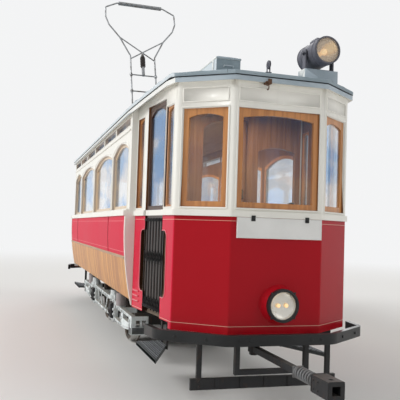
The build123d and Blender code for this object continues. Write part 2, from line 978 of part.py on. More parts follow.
# Fixed lights of the platforms by wall: end, hand, wall, start, stop and head height.
platform_lights = []
for end in (-1, 1):
    platform_lights.append((end, 1, "front", -front_window_half, front_window_half, front_window_top))
    for hand in (-1, 1):
        platform_lights.append(
            (end, hand, "facet", facet_post, facet_length - facet_post, front_window_top)
        )
        platform_lights.append((end, hand, "side", strip_start, door_start - 12, side_light_top))
        platform_lights.append((end, hand, "side", narrow_start, narrow_end, side_light_top))
sash_depth = (platform_wall + sash_thick) / 2 - 8

# Sashes: varnished frames in the window openings, arched under the head.
with BuildPart() as sashes:
    for hand in (-1, 1):
        with BuildSketch(Plane.YZ.offset(hand * sash_x)):
            for middle, width in window_places:
                low, high = middle - width / 2, middle + width / 2
                spring = window_top - window_rise
                arched(low, high, window_bottom, spring, window_rise)
                arched(
                    low + sash_border,
                    high - sash_border,
                    window_bottom + sash_border,
                    spring - sash_border,
                    window_rise,
                    mode=Mode.SUBTRACT,
                )
        extrude(amount=sash_thick / 2, both=True)
    for end, hand, face, start, stop, top in platform_lights:
        border = front_border if face != "side" else sash_border / 2
        with BuildSketch(wall_plane(end, hand, face, sash_depth)):
            upright(start, stop, front_window_bottom, top)
            arched(
                start + border,
                stop - border,
                front_window_bottom + border,
                top - border - arch_rise,
                arch_rise,
                mode=Mode.SUBTRACT,
            )
        extrude(amount=sash_thick / 2, both=True)
finish_piece(sashes, "sashes")

# Glass of the fixed windows, the top lights and the bulkheads.
bulkhead_light = (bulkhead_opening / 2 + 120, upper_inner - 110)
with BuildPart() as fixed_glass:
    for hand in (-1, 1):
        with BuildSketch(Plane.YZ.offset(hand * sash_x)):
            for middle, width in window_places:
                arched(
                    middle - width / 2 + sash_border,
                    middle + width / 2 - sash_border,
                    window_bottom + sash_border,
                    window_top - window_rise - sash_border,
                    window_rise,
                )
            for middle in top_light_places:
                half = (top_light_pitch - top_light_bar) / 2
                upright(middle - half, middle + half, top_light_bottom, top_light_top)
        extrude(amount=glass_thick / 2, both=True)
    for end, hand, face, start, stop, top in platform_lights:
        border = front_border if face != "side" else sash_border / 2
        with BuildSketch(wall_plane(end, hand, face, sash_depth)):
            arched(
                start + border,
                stop - border,
                front_window_bottom + border,
                top - border - arch_rise,
                arch_rise,
            )
        extrude(amount=glass_thick / 2, both=True)
    for end in (-1, 1):
        with BuildSketch(Plane.XZ.offset(-end * (saloon_half - bulkhead_thick / 2))):
            for hand in (-1, 1):
                low, high = sorted((hand * bulkhead_light[0], hand * bulkhead_light[1]))
                arched(low, high, window_bottom, window_top - window_rise / 2, window_rise / 2)
        extrude(amount=glass_thick / 2, both=True)
finish_piece(fixed_glass, "fixed_glass")

# Entrance doors: tall leaves with an arched light, hinged inward at their saloon side.
leaf_start = door_start + door_gap
leaf_end = door_end - door_gap
leaf_bottom = platform_floor_top + 2 * door_gap
leaf_top = door_top - door_gap
leaf_depth = door_recess + door_thick / 2
rail_depth = 2
knuckle_dia = 10
knuckle_length = 70
knuckle_heights = (leaf_bottom + 120, belt_bottom - 160, leaf_top - 190)
for end_name, end in ends:
    for hand_name, hand in hands:
        with BuildPart() as door:
            with BuildSketch(wall_plane(end, hand, "side", leaf_depth)):
                upright(leaf_start, leaf_end, leaf_bottom, leaf_top)
                arched(
                    leaf_start + stile,
                    leaf_end - stile,
                    belt_top + stile,
                    leaf_top - stile - 2 * arch_rise,
                    2 * arch_rise,
                    mode=Mode.SUBTRACT,
                )
            extrude(amount=door_thick / 2, both=True)
            with BuildSketch(wall_plane(end, hand, "side", (rail_depth + door_recess) / 2)):
                upright(leaf_start, leaf_end, belt_bottom, belt_top)
            extrude(amount=(door_recess - rail_depth) / 2, both=True)
            inside = wall_plane(end, hand, "side", door_recess + door_thick)
            knuckle = inside.from_local_coords((leaf_end, 0, 0))
            for z in knuckle_heights:
                with BuildSketch(Plane.XY.offset(z)):
                    with Locations((knuckle.X, knuckle.Y)):
                        Circle(knuckle_dia / 2)
                extrude(amount=knuckle_length)
        finish_piece(door, "door_" + end_name + "_" + hand_name)
        with BuildPart() as door_glass:
            with BuildSketch(wall_plane(end, hand, "side", leaf_depth)):
                arched(
                    leaf_start + stile,
                    leaf_end - stile,
                    belt_top + stile,
                    leaf_top - stile - 2 * arch_rise,
                    2 * arch_rise,
                )
            extrude(amount=glass_thick / 2, both=True)
        finish_piece(door_glass, "door_glass_" + end_name + "_" + hand_name)

# Lattice gates: upright bars joined by crossed links, shut across the foot of each entrance.
bar_pitch = (door_end - door_start - gate_bar) / (gate_bars - 1)
with BuildPart() as gates:
    for end in (-1, 1):
        for hand in (-1, 1):
            with BuildSketch(wall_plane(end, hand, "side", 1 + gate_bar_depth / 2)):
                for i in range(gate_bars):
                    middle = door_start + gate_bar / 2 + i * bar_pitch
                    upright(middle - gate_bar / 2, middle + gate_bar / 2, gate_bottom, gate_top)
                for row in gate_rows:
                    for i in range(gate_bars - 1):
                        left = door_start + gate_bar / 2 + i * bar_pitch
                        for rise in (-1, 1):
                            a = (left, row - rise * gate_link_rise / 2)
                            b = (left + bar_pitch, row + rise * gate_link_rise / 2)
                            with BuildLine():
                                Polyline(
                                    (a[0], a[1] - gate_link),
                                    (b[0], b[1] - gate_link),
                                    (b[0], b[1] + gate_link),
                                    (a[0], a[1] + gate_link),
                                    close=True,
                                )
                            make_face()
            extrude(amount=gate_bar_depth / 2, both=True)
finish_piece(gates, "lattice_gates")

# Hand grips: upright bars that stand in the niches beside each entrance.
with BuildPart() as grab_rails:
    for end in (-1, 1):
        for hand in (-1, 1):
            for along in (door_start - grab_offset, door_end + grab_offset):
                plane = wall_plane(end, hand, "side", platform_wall / 2)
                foot = plane.from_local_coords((along, 0, 0))
                with BuildSketch(Plane.XY.offset(niche_bottom)):
                    with Locations((foot.X, foot.Y)):
                        Circle(grab_dia / 2)
                extrude(amount=niche_top - niche_bottom)
finish_piece(grab_rails, "grab_rails")


# Bulkheads between saloon and platforms, with a middle doorway and a light on each side.
with BuildPart() as bulkheads:
    with BuildSketch(Plane.XZ):
        with BuildLine():
            Polyline(
                (-upper_inner, crown_z),
                (-upper_inner, belt_bottom),
                (-lining_x, belt_bottom),
                (-lining_x, waist_z),
                (-lining_at(saloon_floor_top), saloon_floor_top),
                (lining_at(saloon_floor_top), saloon_floor_top),
                (lining_x, waist_z),
                (lining_x, belt_bottom),
                (upper_inner, belt_bottom),
                (upper_inner, crown_z),
                close=True,
            )
        make_face()
        half = bulkhead_opening / 2
        arched(-half, half, saloon_floor_top - 5, bulkhead_head - 60, 60, mode=Mode.SUBTRACT)
        for hand in (-1, 1):
            low, high = sorted((hand * bulkhead_light[0], hand * bulkhead_light[1]))
            arched(
                low, high, window_bottom, window_top - window_rise / 2, window_rise / 2,
                mode=Mode.SUBTRACT,
            )
    extrude(amount=saloon_half, both=True)
    with BuildSketch(Plane.XY):
        Rectangle(4 * body_half, 2 * (saloon_half - bulkhead_thick))
    extrude(amount=2 * crown_z, mode=Mode.SUBTRACT)
    for end in (-1, 1):
        inner_y = saloon_half - bulkhead_thick
        rail_y = inner_y - sliding_gap - sliding_thick
        y0, y1 = sorted((end * rail_y, end * inner_y))
        rail_far = -end * (bulkhead_opening + sliding_width / 2 + 20)
        x0, x1 = sorted((end * sliding_width / 2, rail_far))
        bar((x0, y0, bulkhead_head + 20), (x1, y1, bulkhead_head + 20 + sliding_rail))
    add(under_roof, mode=Mode.INTERSECT)
finish_piece(bulkheads, "bulkheads")

# Sliding doors in the bulkheads, hung on a rail at the saloon side.
sliding_y = saloon_half - bulkhead_thick - sliding_gap - sliding_thick / 2
for name, end in ends:
    with BuildPart() as sliding:
        with BuildSketch(Plane.XZ.offset(-end * sliding_y)):
            half = sliding_width / 2
            low = saloon_floor_top + sliding_gap
            high = bulkhead_head + 20 - door_gap
            upright(-half, half, low, high)
            arched(
                -half + sliding_stile,
                half - sliding_stile,
                belt_top,
                high - sliding_stile - 100,
                90,
                mode=Mode.SUBTRACT,
            )
        extrude(amount=sliding_thick / 2, both=True)
    finish_piece(sliding, "sliding_door_" + name)
    with BuildPart() as pane:
        with BuildSketch(Plane.XZ.offset(-end * sliding_y)):
            arched(
                -half + sliding_stile,
                half - sliding_stile,
                belt_top,
                high - sliding_stile - 100,
                90,
            )
        extrude(amount=glass_thick / 2, both=True)
    finish_piece(pane, "sliding_glass_" + name)

# Benches: slatted seats and backs along both sides of the saloon, on upright ends.
seat_z = saloon_floor_top + bench_height
slat_count = int(bench_depth / (slat + slat_gap))
back_x = lining_at(saloon_floor_top) - 8
with BuildPart() as benches:
    for hand in (-1, 1):
        for i in range(slat_count):
            x0 = back_x - slat_thick - i * (slat + slat_gap) - slat
            low, high = sorted((hand * x0, hand * (x0 + slat)))
            bar((low, -bench_length / 2, seat_z - slat_thick), (high, bench_length / 2, seat_z))
        foot_x = back_x - slat_thick - slat_count * (slat + slat_gap) + slat_gap
        for i in range(bench_feet):
            y = (i / (bench_feet - 1) - 0.5) * (bench_length - 2 * slat)
            low, high = sorted((hand * foot_x, hand * back_x))
            bar((low, y - 20, saloon_floor_top), (high, y + 20, seat_z - slat_thick))
        low, high = sorted((hand * (back_x - slat_thick), hand * back_x))
        bar((low, -bench_length / 2, seat_z - slat_thick), (high, bench_length / 2, seat_z + bench_back))
finish_piece(benches, "benches")

# Driver's gear on each platform: a drum controller and a hand brake on its own column.
controller_y = face_y - platform_wall - controller_inset
with BuildPart() as controllers:
    for end in (-1, 1):
        with BuildSketch(Plane.XY.offset(platform_floor_top)):
            with Locations((end * controller_x, end * controller_y)):
                Circle(controller_dia / 2)
        extrude(amount=controller_height)
        with BuildSketch(Plane.XY.offset(platform_floor_top + controller_height)):
            with Locations((end * controller_x, end * controller_y)):
                Circle(controller_dia / 2 - 45)
        extrude(amount=40)
finish_piece(controllers, "controllers")

brake_post = 45
with BuildPart() as brake_columns:
    for end in (-1, 1):
        place = (-end * controller_x, end * controller_y)
        with BuildSketch(Plane.XY.offset(platform_floor_top)):
            with Locations(place):
                Circle(brake_post / 2)
        extrude(amount=brake_height)
        with BuildSketch(Plane.XY.offset(platform_floor_top + brake_height - 30)):
            with Locations(place):
                Circle(brake_wheel_dia / 2)
                Circle(brake_wheel_dia / 2 - 28, mode=Mode.SUBTRACT)
                Rectangle(brake_wheel_dia - 20, 26)
                Rectangle(26, brake_wheel_dia - 20)
        extrude(amount=24)
finish_piece(brake_columns, "brake_columns")


# Roof: boards and canvas in one vaulted sheet, and the cream cornice under its edge.
def roof_outline(grow):
    """Corners of the roof's plan, its edge beyond the walls by grow."""
    front = inset_plan(-grow)
    shoulder = (upper_half + grow, -saloon_half)
    half = [(-shoulder[0], shoulder[1])] + front[1:5] + [shoulder]
    return half + [(-x, -y) for x, y in half]


with BuildPart() as roof:
    with BuildSketch(Plane.XY.offset(roof_base)) as roof_plan:
        with BuildLine():
            Polyline(*roof_outline(roof_overhang), close=True)
        make_face()
        fillet(roof_plan.vertices().sort_by(Axis.Y)[:4] + roof_plan.vertices().sort_by(Axis.Y)[-4:], 60)
    extrude(amount=crown_z - roof_base)
    add(roof_space(0), mode=Mode.INTERSECT)
    add(under_roof, mode=Mode.SUBTRACT)
finish_piece(roof, "roof")

with BuildPart() as cornice:
    with BuildSketch(Plane.XY.offset(roof_base)):
        with BuildLine():
            Polyline(*roof_outline(roof_overhang - cornice_lip), close=True)
        make_face()
        Rectangle(2 * upper_half, 2 * (saloon_half + end_post), mode=Mode.SUBTRACT)
        for end in (-1, 1):
            with BuildLine():
                Polyline(*platform_plan(end, 0), close=True)
            make_face(mode=Mode.SUBTRACT)
    extrude(amount=crown_z - roof_base)
    add(under_roof, mode=Mode.INTERSECT)
    add(under_cornice, mode=Mode.SUBTRACT)
finish_piece(cornice, "cornice")

# Roof box: a long sheet cover on the centre line.
with BuildPart() as roof_box:
    bar((-box_half, -box_front, crown_z - 60), (box_half, -box_front + box_length, box_top))
    add(roof_space(0), mode=Mode.SUBTRACT)
finish_piece(roof_box, "roof_box")


# Collector base: two bearing blocks on the roof that carry the bow's hinge shaft.
bearing_width = 60
bearing_gap = 5
bearing_x = upright_half + bow_tube / 2 + bearing_gap
with BuildPart() as collector_base:
    for hand in (-1, 1):
        low, high = sorted((hand * bearing_x, hand * (bearing_x + bearing_width)))
        bar((low, hinge_y - 90, crown_z - 120), (high, hinge_y + 90, hinge_z))
        with BuildSketch(Plane.YZ.offset(low)):
            with Locations((hinge_y, hinge_z)):
                Circle(hinge_dia)
        extrude(amount=bearing_width)
    with BuildSketch(Plane.YZ):
        with Locations((hinge_y, hinge_z)):
            Circle(hinge_dia / 2 + bearing_play)
    extrude(amount=2 * bearing_x, both=True, mode=Mode.SUBTRACT)
    add(roof_space(0), mode=Mode.SUBTRACT)
finish_piece(collector_base, "collector_base")

# Bow: a lyre of bent tube on a hinge shaft, leaning back, with crossed stays and a wide strip.
lean = math.atan(bow_slope)
bow_plane = Plane(
    origin=(0, hinge_y, hinge_z),
    x_dir=(1, 0, 0),
    z_dir=(0, -math.cos(lean), math.sin(lean)),
)


def on_bow(x, z):
    """A point of the leaning bow, from its place across the car and its height."""
    return (x, (z - hinge_z) / math.cos(lean))


def tube_between(points, dia):
    """In an open part, a tube along straight runs joined by arcs, in the bow's plane."""
    with BuildLine(bow_plane) as run:
        if len(points) > 2:
            FilletPolyline(*points, radius=bow_bend)
        else:
            Line(*points)
    path = run.wire()
    with BuildSketch(Plane(origin=path @ 0, z_dir=path % 0)) as section:
        Circle(dia / 2)
    sweep(section.sketch, path=path)


half_hoop = [
    (upright_half, hinge_z),
    (upright_half, upright_top + 60),
    bow_join,
    bow_elbow,
    bow_side,
    bow_corner,
    (strip_half, bow_top),
]
with BuildPart() as collector_bow:
    hoop = [on_bow(-x, z) for x, z in half_hoop] + [on_bow(x, z) for x, z in reversed(half_hoop)]
    tube_between(hoop, bow_tube)
    for hand in (-1, 1):
        tube_between(
            [on_bow(-hand * upright_half, upright_top), on_bow(hand * bow_join[0], bow_join[1])],
            bow_stay,
        )
    for z in rung_heights:
        tube_between([on_bow(-rung_half, z), on_bow(rung_half, z)], bow_stay)
    with BuildSketch(bow_plane.offset(-strip_width / 2)):
        with Locations(on_bow(0, bow_top)):
            Rectangle(2 * (strip_half - bow_tube), strip_thick)
    extrude(amount=strip_width)
    with BuildSketch(bow_plane.offset(-bow_tube)):
        with Locations(on_bow(0, (bow_knot + rung_heights[1]) / 2)):
            Rectangle(strut_thick, (bow_knot - rung_heights[1]) / math.cos(lean))
    extrude(amount=2 * bow_tube)
    with BuildSketch(Plane.YZ):
        with Locations((hinge_y, hinge_z)):
            Circle(hinge_dia / 2)
    extrude(amount=bearing_x + bearing_width, both=True)
finish_piece(collector_bow, "collector_bow")


# Bumpers: a flat band bent round each end, carried on the platform bearers.
with BuildPart() as bumpers:
    for end in (-1, 1):
        with BuildSketch(Plane.XY.offset(bumper_bottom)):
            platform_ring(end, -bumper_gap - bumper_thick, -bumper_gap)
        extrude(amount=bumper_top - bumper_bottom)
    with BuildSketch(Plane.XY):
        Rectangle(4 * body_half, 2 * (corner_y - bumper_return))
    extrude(amount=bumper_top * 2, mode=Mode.SUBTRACT)
finish_piece(bumpers, "bumpers")

# Couplers: a bar on an upright pin under the platform, with a square-mouthed head.
for name, end in ends:
    with BuildPart() as coupler:
        head_start = coupler_reach - coupler_head_length
        bar(
            (-coupler_bar / 2, min(end * coupler_pin_y, end * head_start), coupler_z - coupler_bar / 2),
            (coupler_bar / 2, max(end * coupler_pin_y, end * head_start), coupler_z + coupler_bar / 2),
        )
        with BuildSketch(Plane.XY.offset(coupler_z - coupler_bar / 2)):
            with Locations((0, end * coupler_pin_y)):
                Circle(coupler_pin / 2)
        extrude(amount=bearer_bottom - coupler_z + coupler_bar / 2 - coupler_play)
        bar(
            (-coupler_head / 2, min(end * head_start, end * coupler_reach), coupler_z - coupler_head / 2),
            (coupler_head / 2, max(end * head_start, end * coupler_reach), coupler_z + coupler_head / 2),
        )
        with BuildSketch(Plane.XZ.offset(-end * coupler_reach)):
            with Locations((0, coupler_z)):
                Rectangle(coupler_mouth, coupler_mouth)
        extrude(amount=end * coupler_mouth_depth, mode=Mode.SUBTRACT)
        with BuildSketch(Plane.XY.offset(coupler_z)):
            with Locations((0, end * (coupler_reach - coupler_mouth_depth / 2))):
                Circle(coupler_bolt_dia / 2)
        extrude(amount=coupler_head, both=True, mode=Mode.SUBTRACT)
    finish_piece(coupler, "coupler_" + name)

# Under the ends: the stirrup that guides the coupler, and the lifeguard on its hangers.
with BuildPart() as stirrups:
    for end in (-1, 1):
        y0 = end * stirrup_y - stirrup_bar / 2
        y1 = end * stirrup_y + stirrup_bar / 2
        bar((-stirrup_half, y0, stirrup_bottom - stirrup_bar), (stirrup_half, y1, stirrup_bottom))
        for hand in (-1, 1):
            low, high = sorted((hand * stirrup_half, hand * (stirrup_half - stirrup_bar)))
            bar((low, y0, stirrup_bottom - stirrup_bar), (high, y1, bearer_bottom))
finish_piece(stirrups, "coupler_stirrups")

with BuildPart() as lifeguards:
    for end in (-1, 1):
        y0, y1 = sorted((end * guard_y, end * (guard_y + guard_thick)))
        bar((-guard_half, y0, guard_bottom), (guard_half, y1, guard_bottom + guard_depth))
        for hand in (-1, 1):
            low, high = sorted(
                (hand * guard_hanger_x, hand * (guard_hanger_x + guard_hanger_width))
            )
            bar((low, y0, guard_bottom), (high, y1, bearer_bottom))
finish_piece(lifeguards, "lifeguards")

# Steps: one black tread under each entrance, on two hangers from the platform floor.
with BuildPart() as steps:
    for end in (-1, 1):
        for hand in (-1, 1):
            x0, x1 = sorted((hand * step_inner, hand * step_outer))
            y0, y1 = sorted((end * step_start, end * step_end))
            bar((x0, y0, step_top - step_thick), (x1, y1, step_top))
            for y in (step_start + 60, step_end - 60):
                x2, x3 = sorted((hand * step_inner, hand * (step_inner + 14)))
                bar((x2, end * y - 25, step_top - step_thick), (x3, end * y + 25, platform_floor_bottom))
finish_piece(steps, "steps")

# Headlights: on each dash's coned base, a dark rim round the lens.
with BuildPart() as headlight_rims:
    for end in (-1, 1):
        with BuildSketch(lamp_plane(end, lamp_seat)):
            Circle(lamp_ring_dia / 2)
            Circle(lamp_lens_dia / 2, mode=Mode.SUBTRACT)
        extrude(amount=lamp_proud - lamp_seat)
finish_piece(headlight_rims, "headlight_rims")

with BuildPart() as headlight_lenses:
    for end in (-1, 1):
        with BuildSketch(lamp_plane(end, lamp_seat)):
            Circle(lamp_lens_dia / 2)
        extrude(amount=lamp_lens_depth)
finish_piece(headlight_lenses, "headlight_lenses")

# Destination board on the front dash.
with BuildPart() as board:
    bar(
        (board_left, -face_y - board_thick, board_bottom),
        (board_right, -face_y, belt_bottom - 2),
    )
finish_piece(board, "destination_board")

# Searchlight on the front of the roof: a foot, a turning yoke and the tilting drum.
yoke_half = drum_dia / 2 + yoke_gap
yoke_base = foot_top + coupler_play
with BuildPart() as searchlight_foot:
    bar(
        (search_x - foot_half, -search_y - foot_depth / 2, roof_base),
        (search_x + foot_half, -search_y + foot_depth / 2, foot_top),
    )
    add(roof_space(0), mode=Mode.SUBTRACT)
    with BuildSketch(Plane.XY.offset(foot_top - pivot_depth - coupler_play)):
        with Locations((search_x, -search_y)):
            Circle(pivot_dia / 2 + coupler_play)
    extrude(amount=2 * pivot_depth, mode=Mode.SUBTRACT)
finish_piece(searchlight_foot, "searchlight_foot")

with BuildPart() as searchlight_yoke:
    bar(
        (search_x - yoke_half - yoke_thick, -search_y - yoke_width / 2, yoke_base),
        (search_x + yoke_half + yoke_thick, -search_y + yoke_width / 2, yoke_base + yoke_thick),
    )
    for hand in (-1, 1):
        low, high = sorted((search_x + hand * yoke_half, search_x + hand * (yoke_half + yoke_thick)))
        bar(
            (low, -search_y - yoke_width / 2, yoke_base),
            (high, -search_y + yoke_width / 2, search_z + yoke_width / 2),
        )
    with BuildSketch(Plane.XY.offset(foot_top - pivot_depth)):
        with Locations((search_x, -search_y)):
            Circle(pivot_dia / 2)
    extrude(amount=pivot_depth + coupler_play + yoke_thick / 2)
finish_piece(searchlight_yoke, "searchlight_yoke")

with BuildPart() as searchlight_drum:
    with BuildSketch(Plane.XZ.offset(search_y - drum_length / 2)):
        with Locations((search_x, search_z)):
            Circle(drum_dia / 2)
    extrude(amount=drum_length)
    with BuildSketch(Plane.YZ.offset(search_x)):
        with Locations((-search_y, search_z)):
            Circle(trunnion_dia / 2)
    extrude(amount=yoke_half - yoke_gap / 4, both=True)
    with BuildSketch(Plane.XZ.offset(search_y - drum_length / 2 + drum_wall)):
        with Locations((search_x, search_z)):
            Circle(drum_dia / 2 - drum_wall)
    extrude(amount=drum_length, mode=Mode.SUBTRACT)
finish_piece(searchlight_drum, "searchlight_drum")

with BuildPart() as searchlight_lens:
    with BuildSketch(Plane.XZ.offset(search_y + drum_length / 2 - lens_depth - glass_thick)):
        with Locations((search_x, search_z)):
            Circle(drum_dia / 2 - drum_wall)
    extrude(amount=glass_thick)
finish_piece(searchlight_lens, "searchlight_lens")
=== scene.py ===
import math

import bmesh
import bpy
from mathutils import Matrix, Vector


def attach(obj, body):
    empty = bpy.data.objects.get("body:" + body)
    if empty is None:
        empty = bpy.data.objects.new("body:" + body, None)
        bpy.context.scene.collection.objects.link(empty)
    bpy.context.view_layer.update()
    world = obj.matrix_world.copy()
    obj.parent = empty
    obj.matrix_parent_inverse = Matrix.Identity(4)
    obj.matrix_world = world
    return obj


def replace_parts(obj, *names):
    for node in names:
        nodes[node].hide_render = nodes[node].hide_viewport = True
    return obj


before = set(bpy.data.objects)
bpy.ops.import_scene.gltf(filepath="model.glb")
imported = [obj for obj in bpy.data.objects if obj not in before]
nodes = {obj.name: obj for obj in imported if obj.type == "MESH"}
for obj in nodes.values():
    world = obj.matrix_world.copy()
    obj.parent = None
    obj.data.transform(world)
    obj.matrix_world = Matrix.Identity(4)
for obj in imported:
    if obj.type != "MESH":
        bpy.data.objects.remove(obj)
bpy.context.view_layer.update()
scene = bpy.context.scene
scene.view_settings.view_transform = "Standard"


# The studio: a plain pale floor that fades into an even pale surround, a broad soft lamp on the
# entrance side with weaker ones from ahead and behind, warm lamps under the car's ceiling, and the
# camera at the place from which the photograph was taken.
class Socket:
    """A node's output. Arithmetic on it adds Math nodes to its tree."""

    def __init__(self, paint, output):
        self.paint = paint
        self.output = output

    def math(self, operation, *values):
        return self.paint.node("ShaderNodeMath", {"operation": operation}, dict(enumerate(values)))

    def __add__(self, other):
        return self.math("ADD", self, other)

    def __sub__(self, other):
        return self.math("SUBTRACT", self, other)

    def __rsub__(self, other):
        return self.math("SUBTRACT", other, self)

    def __mul__(self, other):
        return self.math("MULTIPLY", self, other)

    def __truediv__(self, other):
        return self.math("DIVIDE", self, other)

    def __pow__(self, other):
        return self.math("POWER", self, other)

    def __abs__(self):
        return self.math("ABSOLUTE", self)

    __radd__ = __add__
    __rmul__ = __mul__

    def over(self, limit):
        return self.math("GREATER_THAN", self, limit)

    def wave(self):
        return self.math("SINE", self)

    def whole(self):
        return self.math("FLOOR", self)

    def rest(self):
        return self.math("FRACT", self)

    def rise(self, low, high):
        """0 below low, 1 above high, and a soft step between them."""
        return self.paint.node(
            "ShaderNodeMapRange",
            {"interpolation_type": "SMOOTHSTEP"},
            {"Value": self, "From Min": low, "From Max": high},
        )

    def between(self, low, high, soft):
        """1 from low to high, 0 outside, with a soft step at both."""
        return self.rise(low - soft, low + soft) * (1 - self.rise(high - soft, high + soft))

    def line(self, middle, inner, outer):
        """1 nearer to middle than inner, and 0 further off than outer."""
        return 1 - abs(self - middle).rise(inner, outer)


class Paint:
    """A finish while it is mixed: one node tree, and one method that adds any node to it."""

    def __init__(self, tree):
        self.tree = tree
        tree.nodes.clear()

    def node(self, kind, settings, sockets, out=0):
        made = self.tree.nodes.new(kind)
        for key, value in settings.items():
            setattr(made, key, value)
        for key, value in sockets.items():
            if isinstance(value, Socket):
                self.tree.links.new(value.output, made.inputs[key])
            elif made.inputs[key].type == "RGBA":
                made.inputs[key].default_value = (*value[:3], 1)
            else:
                made.inputs[key].default_value = value
        return Socket(self, made.outputs[out]) if made.outputs else None

    def mix(self, factor, low, high):
        return self.node("ShaderNodeMix", {"data_type": "RGBA"}, {0: factor, 6: low, 7: high}, 2)

    def place(self):
        return self.node("ShaderNodeTexCoord", {}, {}, "Object")

    def spot(self, axis):
        """How far along an axis of the car the surface lies."""
        return self.node("ShaderNodeSeparateXYZ", {}, {"Vector": self.place()}, axis)

    def facing(self, axis):
        """How much the surface looks along an axis."""
        normal = self.node("ShaderNodeTexCoord", {}, {}, "Normal")
        return self.node("ShaderNodeSeparateXYZ", {}, {"Vector": normal}, axis)

    def stretched(self, scale):
        return self.node("ShaderNodeMapping", {}, {"Vector": self.place(), "Scale": scale})

    def noise(self, scale, detail=3, roughness=0.55, where=None):
        return self.node(
            "ShaderNodeTexNoise",
            {},
            {
                "Vector": where or self.place(),
                "Scale": scale,
                "Detail": detail,
                "Roughness": roughness,
            },
        )


pale_surround = (0.90, 0.905, 0.91)
world = bpy.data.worlds.new("surround")
world.use_nodes = True
scene.world = world
air = Paint(world.node_tree)
seen = air.node("ShaderNodeLightPath", {}, {}, "Is Camera Ray")
through = air.node("ShaderNodeLightPath", {}, {}, "Is Transmission Ray")
mirrored = air.node("ShaderNodeLightPath", {}, {}, "Is Glossy Ray")
shown = (seen + through + mirrored).over(0.5)
lamp_light = air.node("ShaderNodeBackground", {}, {"Color": (1, 1, 1), "Strength": 0.46})
shown_light = air.node("ShaderNodeBackground", {}, {"Color": pale_surround, "Strength": 1.0})
mixed = air.node("ShaderNodeMixShader", {}, {0: shown, 1: lamp_light, 2: shown_light})
air.node("ShaderNodeOutputWorld", {}, {"Surface": mixed})

floor_reach, fade_start, fade_end = 90, 9, 26
floor_mesh = bpy.data.meshes.new("floor")
floor_shape = bmesh.new()
bmesh.ops.create_grid(floor_shape, x_segments=1, y_segments=1, size=floor_reach)
floor_shape.to_mesh(floor_mesh)
floor_shape.free()
floor = bpy.data.objects.new("floor", floor_mesh)
scene.collection.objects.link(floor)
floor_material = bpy.data.materials.new("pale_floor")
floor_material.use_nodes = True
ground = Paint(floor_material.node_tree)
distance = ground.node(
    "ShaderNodeVectorMath", {"operation": "LENGTH"}, {0: ground.place()}, "Value"
)
matt = ground.node("ShaderNodeBsdfDiffuse", {}, {"Color": (0.80, 0.79, 0.77)})
glow = ground.node("ShaderNodeEmission", {}, {"Color": pale_surround})
faded = ground.node(
    "ShaderNodeMixShader", {}, {0: distance.rise(fade_start, fade_end), 1: matt, 2: glow}
)
ground.node("ShaderNodeOutputMaterial", {}, {"Surface": faded})
floor.data.materials.append(floor_material)

for lamp_name, toward, strength, softness in (
    ("key_lamp", (0.84, -0.12, -0.52), 2.05, 0.5),
    ("fill_lamp", (-0.60, 0.45, -0.50), 0.42, 0.9),
    ("back_lamp", (-0.35, -0.80, -0.45), 0.65, 0.7),
):
    lamp = bpy.data.objects.new(lamp_name, bpy.data.lights.new(lamp_name, "SUN"))
    lamp.data.energy = strength
    lamp.data.angle = softness
    lamp.rotation_euler = Vector(toward).to_track_quat("-Z", "Y").to_euler()
    scene.collection.objects.link(lamp)

lamp_z, lamp_width = 2.62, 0.9
for lamp_name, y, length, power in (
    ("front_platform_light", -3.40, 0.7, 9),
    ("saloon_light", 0, 4.6, 60),
    ("rear_platform_light", 3.40, 0.7, 9),
):
    lamp = bpy.data.objects.new(lamp_name, bpy.data.lights.new(lamp_name, "AREA"))
    lamp.data.shape = "RECTANGLE"
    lamp.data.size = lamp_width
    lamp.data.size_y = length
    lamp.data.energy = power
    lamp.data.color = (1.0, 0.93, 0.82)
    lamp.location = (0, y, lamp_z)
    lamp.visible_camera = lamp.visible_glossy = lamp.visible_transmission = False
    scene.collection.objects.link(lamp)

camera_place, lens_length, film_width = (-2.038, -8.77, 1.467), 55.47, 36
yaw, pitch, roll = (math.radians(angle) for angle in (16.766, 2.617, 1.887))
ahead = Vector((math.sin(yaw) * math.cos(pitch), math.cos(yaw) * math.cos(pitch), math.sin(pitch)))
level = Vector((math.cos(yaw), -math.sin(yaw), 0))
upward = level.cross(ahead)
right = level * math.cos(roll) + upward * math.sin(roll)
top = upward * math.cos(roll) - level * math.sin(roll)
camera = bpy.data.objects.new("camera", bpy.data.cameras.new("camera"))
camera.data.lens = lens_length
camera.data.sensor_width = film_width
camera.data.clip_end = 300
camera.matrix_world = (
    Matrix.Translation(camera_place) @ Matrix((right, top, -ahead)).transposed().to_4x4()
)
scene.collection.objects.link(camera)
scene.camera = camera


# Wheelsets: steel tyres shrunk on cast discs and pressed on one axle. The tread is polished by the
# rail, the discs are caked with brake dust and oil, and eight bolts hold each hub's ring.
def new_paint(name):
    """A new material and the paint that mixes it."""
    material = bpy.data.materials.new(name)
    material.use_nodes = True
    return material, Paint(material.node_tree)


def surface(paint, colour, rough, height=None, depth=0.001, edge=0.002, **sockets):
    """Join colour, roughness and relief to the shader, with its edges eased by a bevel."""
    eased = paint.node("ShaderNodeBevel", {"samples": 4}, {"Radius": edge})
    if height is not None:
        relief = {"Height": height, "Distance": depth, "Normal": eased}
        eased = paint.node("ShaderNodeBump", {}, relief)
    values = {"Base Color": colour, "Roughness": rough, "Normal": eased}
    values.update({key.replace("_", " "): value for key, value in sockets.items()})
    shader = paint.node("ShaderNodeBsdfPrincipled", {}, values)
    paint.node("ShaderNodeOutputMaterial", {}, {"Surface": shader})


def dress(material, *names):
    """Give CAD nodes a worked material in place of the plain one that they come with."""
    for name in names:
        for place in nodes[name].material_slots:
            place.material = material


